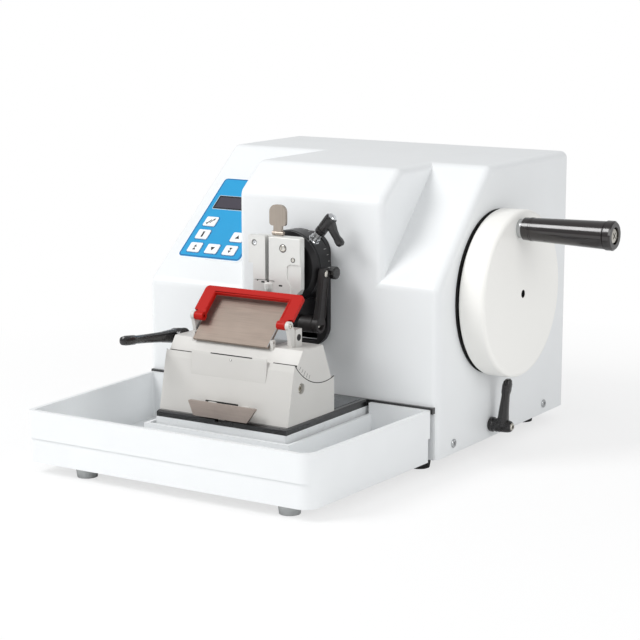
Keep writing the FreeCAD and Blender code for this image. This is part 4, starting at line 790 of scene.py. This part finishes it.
# The side knob: a moulded cap with eight shallow flutes on its rod.
knob_low, knob_high = mm_box("side_knob")
knob_middle = (knob_low + knob_high) / 2
knob_length, knob_rod_length = 6.5, 22
flutes, flute_depth = 8, 0.04
knob_turns = [2 * math.pi * i / 96 for i in range(96)]
fluting = [1 - flute_depth * max(0, math.cos(flutes * turn)) for turn in knob_turns]
bm = bmesh.new()
knob_loops = []
for along, radius in ((-knob_length, 1.0), (-knob_length, 5.2), (-knob_length + 0.6, 5.9), (-0.9, 6.0),
                      (-0.2, 5.4), (0, 4.2)):
    knob_loops.append([Vector((knob_high.x + along, knob_middle.y + math.cos(turn) * radius * share,
                               knob_middle.z + math.sin(turn) * radius * share))
                       for turn, share in zip(knob_turns, fluting)])
skin_loops(bm, knob_loops)
lathe(bm, (knob_high.x - knob_length - knob_rod_length, knob_middle.y, knob_middle.z), across,
      [(0, 0), (0, 3.0), (knob_rod_length + 0.5, 3.0), (knob_rod_length + 0.5, 0)], 32)
finish_piece("side_knob_cap", bm, epoxy, "knob", node="side_knob")


# Specimen clamp
# A milled aluminium vice, bead blasted and clear anodised: a fixed right jaw on a back plate, a sliding
# left jaw, and a slot between them that takes the cassette. Pale, even and softly metallic.
blasted = skin("bead_blasted_aluminium", "#E6E6E3", 0.44, 0.6, 0.012, 0.05, metallic=0.45)
for name in ("clamp_body", "clamp_jaw"):
    dress(name, blasted, 0.7)
dress("clamp_screws", nickel, 0.2)
dress("jaw_rod", ground)
body_low, body_high = mm_box("clamp_body")
jaw_low, jaw_high = mm_box("clamp_jaw")
clamp_left_x, clamp_right_x = jaw_low.x, body_high.x
clamp_front_y, clamp_top_z = jaw_low.y, jaw_high.z
forwards = Vector((0, -1, 0))
# A raised cheek steps the front of the fixed jaw. Its outline is in millimetres from the clamp's left
# edge and foot.
cheek_rise = 1.2
cheek_face_y = clamp_front_y - cheek_rise
cheek_outline = ((23.2, 52.6), (57.4, 52.6), (57.4, 28.3), (46, 28.3), (43.2, 26), (43.2, 14.8), (47.5, 7),
                 (47.5, 0.6), (29.5, 0.6), (29.5, 12), (23.2, 12))
bm = bmesh.new()
skin_loops(bm, [[Vector((clamp_left_x + a, y, body_low.z + b)) for a, b in cheek_outline]
                for y in (clamp_front_y + 0.4, cheek_face_y)])
finish_piece("clamp_cheek", bm, blasted, "clamp", bevel=0.45)
# Each socket screw by its distance from the right edge and from the top, and its radius.
clamp_screw_spots = ((19, 10, 3.1), (8, 20, 1.6))
bm = bmesh.new()
for inwards, down, radius in clamp_screw_spots:
    screw_head(bm, (clamp_right_x - inwards, cheek_face_y + 0.2, clamp_top_z - down), (0, -1, 0), radius,
               radius * 0.25 + 0.2, radius * 0.4, hexagon_outline)
finish_piece("clamp_socket_screws", bm, nickel, "clamp")
# Painted shade: a flat near black laid into counterbores, slots, seams and gaps where shade falls. The
# clearance marks use it as their ink as well.
shade_and_mark_black = skin("painted_shade_and_mark_black", "#111111", 0.7, 0.5, 0.01, 0.05)
clamp_slots = ((10.1, 11.2, 1.2, clamp_front_y), (16.0, 9.9, 3.6, clamp_front_y),
               (21.6, 11.0, 2.6, clamp_front_y), (36.3, 8.2, 3.8, cheek_face_y))
# Painted shade: near-black rings round the socket screws and strips in the slots.
bm = bmesh.new()
for inwards, down, radius in clamp_screw_spots:
    lathe(bm, (clamp_right_x - inwards, cheek_face_y - 0.05, clamp_top_z - down), forwards,
          [(-0.2, radius + 0.2), (0.12, radius + 0.2), (0.12, radius + 0.7), (-0.2, radius + 0.7),
           (-0.2, radius + 0.2)], 40)
for middle_x, rise, length, face_y in clamp_slots:
    slab(bm, Vector((clamp_left_x + middle_x, face_y, body_low.z + rise)), across, upright, rearwards,
         (length, 1.5), 0.5, (0.2, -0.06))
finish_piece("clamp_dark_slots", bm, shade_and_mark_black, "clamp")
bm = bmesh.new()
screw_head(bm, (clamp_left_x + 6.5, clamp_front_y + 1.9, clamp_top_z - 7), (0, -1, 0), 2.5, 1.3, 0.9,
           hexagon_outline)
finish_piece("jaw_socket_screw", bm, chrome, "jaw")
# Two tongues of the cassette guide stand at the sides of the slot, with a round boss below it.
slot_left_x = clamp_left_x + 18.5
guide_half_height = 19.5
bm = bmesh.new()
for x, width in ((slot_left_x + 8.2, 1.8), (slot_left_x + 5.6, 1.0)):
    middle = Vector((x, clamp_front_y + 2.2, clamp_top_z - 21))
    slab(bm, middle, across, rearwards, upright, (width, 3.6), 0.4, (-guide_half_height, guide_half_height))
finish_piece("cassette_guides", bm, ground, "clamp")
bm = bmesh.new()
lathe(bm, (clamp_left_x + 21.8, clamp_front_y + 2.4, body_low.z + 9.4), (0, 0, -1),
      [(0, 0), (0, 4.6), (0.5, 5.2), (4.5, 5.0), (7.6, 4.2), (8.8, 3.0), (9.0, 0)], 48)
finish_piece("clamp_foot_boss", bm, blasted, "clamp")


# Thumb lever
# A stamped strip of stainless sheet, brushed along its length. The long streaks are drawn 0.6 mm wide,
# coarser than real brushing so that they show, over a warm grey.


def brushed_sheet(name, colour, along, roughness):
    """Brushed stainless sheet whose streaks run along one axis."""
    material, tree = new_material(name)
    streak_width, streak_length, patch_size, streak_depth = 0.6, 30, 25, 0.012
    scale = [per_mm(streak_width)] * 3
    scale[along] = per_mm(streak_length)
    place = add(tree, "ShaderNodeTexCoord", {}).outputs["Object"]
    stretched = add(tree, "ShaderNodeVectorMath", {"operation": "MULTIPLY", 0: place, 1: scale})
    streaks = add(tree, "ShaderNodeTexNoise", {"Vector": stretched.outputs[0], "Scale": 1.0, "Detail": 3.0})
    broad = add(tree, "ShaderNodeTexNoise", {"Vector": place, "Scale": per_mm(patch_size), "Detail": 2.0})
    tone = add(tree, "ShaderNodeMapRange", {**noise_span, "Value": streaks.outputs["Fac"],
                                            "To Min": 0.9, "To Max": 1.05})
    cloud = add(tree, "ShaderNodeMapRange", {**noise_span, "Value": broad.outputs["Fac"],
                                             "To Min": 0.95, "To Max": 1.03})
    both = add(tree, "ShaderNodeMath", {"operation": "MULTIPLY", 0: tone.outputs[0], 1: cloud.outputs[0]})
    hue = add(tree, "ShaderNodeMix", {"data_type": "RGBA", "blend_type": "MULTIPLY", 0: 1.0,
                                      6: linear(colour), 7: both.outputs[0]})
    rough = add(tree, "ShaderNodeMapRange", {**noise_span, "Value": streaks.outputs["Fac"],
                                             "To Min": roughness * 0.8, "To Max": roughness * 1.2})
    relief = add(tree, "ShaderNodeBump", {"Height": streaks.outputs["Fac"], "Strength": 0.4,
                                          "Distance": streak_depth * MM})
    surface = add(tree, "ShaderNodeBsdfPrincipled", {"Base Color": hue.outputs[2], "Metallic": 0.8,
                                                     "Roughness": rough.outputs[0],
                                                     "Normal": relief.outputs[0]})
    add(tree, "ShaderNodeOutputMaterial", {"Surface": surface.outputs[0]})
    return material


dress("thumb_lever", brushed_sheet("brushed_stainless_upright", "#B0A59A", 2, 0.36), 0.5)


# Blade holder
# Cast aluminium under a warm grey powder coat: a base that slides on the base plate's key, and a body
# that rocks in its round seat to set the clearance angle.
# Powder coat: a matt warm grey whose tiny dimples, drawn at 0.9 mm, soften every highlight.
powder_coat = skin("powder_coat_warm_grey", "#D0CECA", 0.46, 0.9, 0.022, 0.03)
for name, bevel in (("knife_base", 0.9), ("tilting_body", 0.9), ("guard_brackets", 0.5)):
    dress(name, powder_coat, bevel)
holder_left_x, holder_right_x = -50.0, 90.0
seat_y, seat_z, seat_radius = -75.8, 154.3, 61.85
seat_front_y, seat_rear_y = -124.0, -59.2


def seat_point(y):
    return Vector((0, y, seat_z - math.sqrt(seat_radius ** 2 - (y - seat_y) ** 2)))


# The seam between base and body is painted as a dark line round both ends and along the front: painted shade
# in the gap.
seam_steps, seam_half, seam_proud, seam_deep = 28, 0.38, 0.06, 0.3
seam_ys = [seat_front_y + (seat_rear_y - seat_front_y) * i / seam_steps for i in range(seam_steps + 1)]
seam_corners = ((1, seam_proud), (-1, seam_proud), (-1, -seam_deep), (1, -seam_deep))
bm = bmesh.new()
for x, out in ((holder_right_x, 1), (holder_left_x, -1)):
    loops = []
    for y in seam_ys:
        middle = seat_point(y) + across * x
        radial = (middle - Vector((x, seat_y, seat_z))).normalized()
        loops.append([middle + radial * (seam_half * edge) + across * (rise * out)
                      for edge, rise in seam_corners])
    skin_loops(bm, loops)
finish_piece("holder_seam", bm, shade_and_mark_black, "holder")

# A tongue stands up from the middle of the base's front, with a slim slot along its top in painted shade and
# an index mark in its centre. At both sides of it a strip of painted shade marks the gap under the rocking
# body's front edge.
front_break = Vector((0, -126, 109.6))
front_foot = Vector((0, -136, plate_top_z))
front_up = (front_break - front_foot).normalized()
front_out = Vector((0, -front_up.z, front_up.y))
tongue_left_x, tongue_right_x = -20, 62
tongue_profile = ((-13.0, 0.05, -1.0), (-8, 0.75, -1.0), (0, 1.5, -0.4), (5, 2.1, 0.9), (8.6, 2.5, 1.5),
                  (9.2, 2.3, 1.7))
bm = bmesh.new()
tongue_loops = []
for along, outer, inner in tongue_profile:
    middle = front_break + front_up * along
    tongue_loops.append([middle + across * x + front_out * rise
                         for x, rise in ((tongue_left_x, outer), (tongue_right_x, outer),
                                         (tongue_right_x, inner), (tongue_left_x, inner))])
skin_loops(bm, tongue_loops)
finish_piece("holder_front_tongue", bm, powder_coat, "holder", bevel=0.3)
bm = bmesh.new()
slot_middle = front_break + front_up * 8.0 + across * 23.8 + front_out * 2.38
slab(bm, slot_middle, across, front_up, front_out, (45.3, 1.1), 0.4, (-0.3, 0.1))
mark = front_break + front_up * 3.9 + across * 23.4 + front_out * 1.95
lathe(bm, mark, front_out, [(-0.3, 0), (-0.3, 1.1), (0.1, 1.1), (0.1, 0)], 24)
finish_piece("holder_tongue_slot", bm, shade_and_mark_black, "holder")
bm = bmesh.new()
lathe(bm, mark, front_out, [(-0.1, 0), (-0.1, 0.7), (0.2, 0.7), (0.2, 0)], 24)
finish_piece("holder_index_mark", bm, print_white, "holder")
body_front_up = Vector((0, 10, 14.2)).normalized()
body_front_out = Vector((0, -body_front_up.z, body_front_up.y))
gap_line = Vector((0, -121, 112.3)) + body_front_up * 2.0
bm = bmesh.new()
for left_x, right_x in ((-49.4, -22), (64, 89.4)):
    slab(bm, gap_line + across * ((left_x + right_x) / 2), across, body_front_up, body_front_out,
         (right_x - left_x, 2.2), 0.3, (-0.3, 0.06))
finish_piece("body_shadow_gap", bm, shade_and_mark_black, "rocker")

# The clearance scale on the rocking body's right end: five short marks, the middle one longer.
scale_turns = [math.radians(d) for d in (-9, -4.5, 0, 4.5, 9)]
scale_middle = math.radians(34)
scale_inset = 3.4
bm = bmesh.new()
for turn in scale_turns:
    mark_way = Vector((0, -math.sin(scale_middle + turn), -math.cos(scale_middle + turn)))
    middle = Vector((holder_right_x, seat_y, seat_z)) + mark_way * (seat_radius - scale_inset)
    mark_length = 3.6 if turn else 5
    slab(bm, middle, mark_way, mark_way.cross(across), across, (mark_length, 0.45), 0.1, (-0.2, 0.05), 1)
finish_piece("clearance_scale", bm, shade_and_mark_black, "rocker")

# A socket screw low on the right end, and the eye of the guard's pivot in its bracket, painted near black as
# shade.
side_screw = (holder_right_x - 3.9, -113.7, 93.0)
bracket_eye = (mm_box("guard_brackets")[1].x, -94.6, 134.5)
bm = bmesh.new()
screw_head(bm, side_screw, across, 4.4, 2.2, 1.4, hexagon_outline)
finish_piece("holder_side_screw", bm, nickel, "holder")
bm = bmesh.new()
lathe(bm, bracket_eye, across,
      [(-0.3, 3.0), (0.3, 3.0), (0.5, 2.6), (0.2, 2.2), (0.1, 1.2), (0.3, 0), (-0.3, 0), (-0.3, 3.0)], 36)
finish_piece("bracket_dark_eye", bm, bore_shade_black, "rocker")


# Blade, blade seat and pressure plate
# The blade lies on a ground steel seat under a stainless pressure plate. The plate is brushed along its
# length in a warm grey, its right edge is broken to a bright line, and the blade is stropped to a mirror.
dress("blade_seat", ground, 0.2)
dress("blade", skin("stropped_blade_steel", "#D4D6D8", 0.12, 0.4, 0.001, 0.04, metallic=1.0))
dress("pressure_plate", brushed_sheet("brushed_stainless_plate", "#94877D", 0, 0.4), 0.35)
blade_pitch = math.radians(43.7)
blade_edge = Vector((0, -76.0, 162.0))
down_blade = Vector((0, -math.cos(blade_pitch), -math.sin(blade_pitch)))
out_of_blade = Vector((0, -math.sin(blade_pitch), math.cos(blade_pitch)))


def on_blade(x, s, t):
    return blade_edge + across * x + down_blade * s + out_of_blade * t


plate_right_x, plate_low_s, plate_face_t = 56, 53.4, 2.6
bm = bmesh.new()
skin_loops(bm, [rounded_loop(on_blade(plate_right_x - 0.45, s, plate_face_t + 0.03), across, out_of_blade,
                             0.7, 0.16, 0.06, 2) for s in (2.0, plate_low_s - 0.6)])
finish_piece("plate_bright_edges", bm, chrome, "plate")


# Finger guard
# A U-shaped zinc casting in signal-red enamel that folds over the blade. Its face is flat and satin,
# and a thin moulded rib stands along its inner edge.
red_enamel = skin("signal_red_enamel", "#B5150C", 0.45, 1.4, 0.01, 0.06, ior=1.28)
dress("finger_guard", red_enamel, 0.7)
guard_left_x, guard_right_x = -33, 74
guard_arm, guard_bar_s, guard_face_t = 13, 7.0, 11.5
rib_inset, rib_end_s, rib_half = 1.2, 26, 0.55
mitre = 1.414
rib_path = ((guard_left_x + guard_arm - rib_inset, rib_end_s, across),
            (guard_left_x + guard_arm - rib_inset, guard_bar_s - rib_inset,
             (across + down_blade).normalized() * mitre),
            (guard_right_x - guard_arm + rib_inset, guard_bar_s - rib_inset,
             (across - down_blade).normalized() * mitre),
            (guard_right_x - guard_arm + rib_inset, rib_end_s, across))
bm = bmesh.new()
skin_loops(bm, [[on_blade(x, s, guard_face_t) + lean * (rib_half * edge) + out_of_blade * rise
                 for edge, rise in ((1, -0.3), (1, 0.45), (-1, 0.45), (-1, -0.3))]
                for x, s, lean in rib_path])
finish_piece("guard_inner_rib", bm, red_enamel, "guard", bevel=0.2)
guard_pivot = on_blade(0, 33.0, 9.75)
bm = bmesh.new()
for x, side in ((guard_left_x - 0.05, -1), (guard_right_x + 0.05, 1)):
    screw_head(bm, (x, guard_pivot.y, guard_pivot.z), (side, 0, 0), 2.2, 0.9, 0.7, hexagon_outline)
finish_piece("guard_pin_heads", bm, nickel, "rocker")


# Release paddle
# A bent strip of spring steel on a pivot rod, low on the holder's front. Pressed, it frees the holder to
# slide. Brushed across, with a strip of painted shade above it as the dark gap where the strip enters the
# base.
dress("base_lever", brushed_sheet("brushed_spring_steel", "#AEA199", 0, 0.38), 0.4)
gap_middle = front_foot + front_up * 13.2 + across * 17.5
bm = bmesh.new()
slab(bm, gap_middle, across, front_up, front_out, (36, 1.7), 0.6, (-0.6, 0.06))
finish_piece("paddle_dark_gap", bm, shade_and_mark_black, "holder")


# Waste tray and its feet
# A deep moulded ABS trough that pulls off forwards, with a step where its lower skirt is joined on. It is
# a cool even white, a little glossier than the housing. Two feet in dull grey rubber carry its front.
tray_abs = skin("moulded_abs_tray", "#EEF0F1", 0.34, 0.7, 0.012, 0.015, smudge=0.1)
dress("waste_tray", tray_abs, 0.9)
dress("tray_feet", skin("grey_thermoplastic_rubber", "#B4B6B6", 0.6, 0.6, 0.02, 0.06), 0.8)
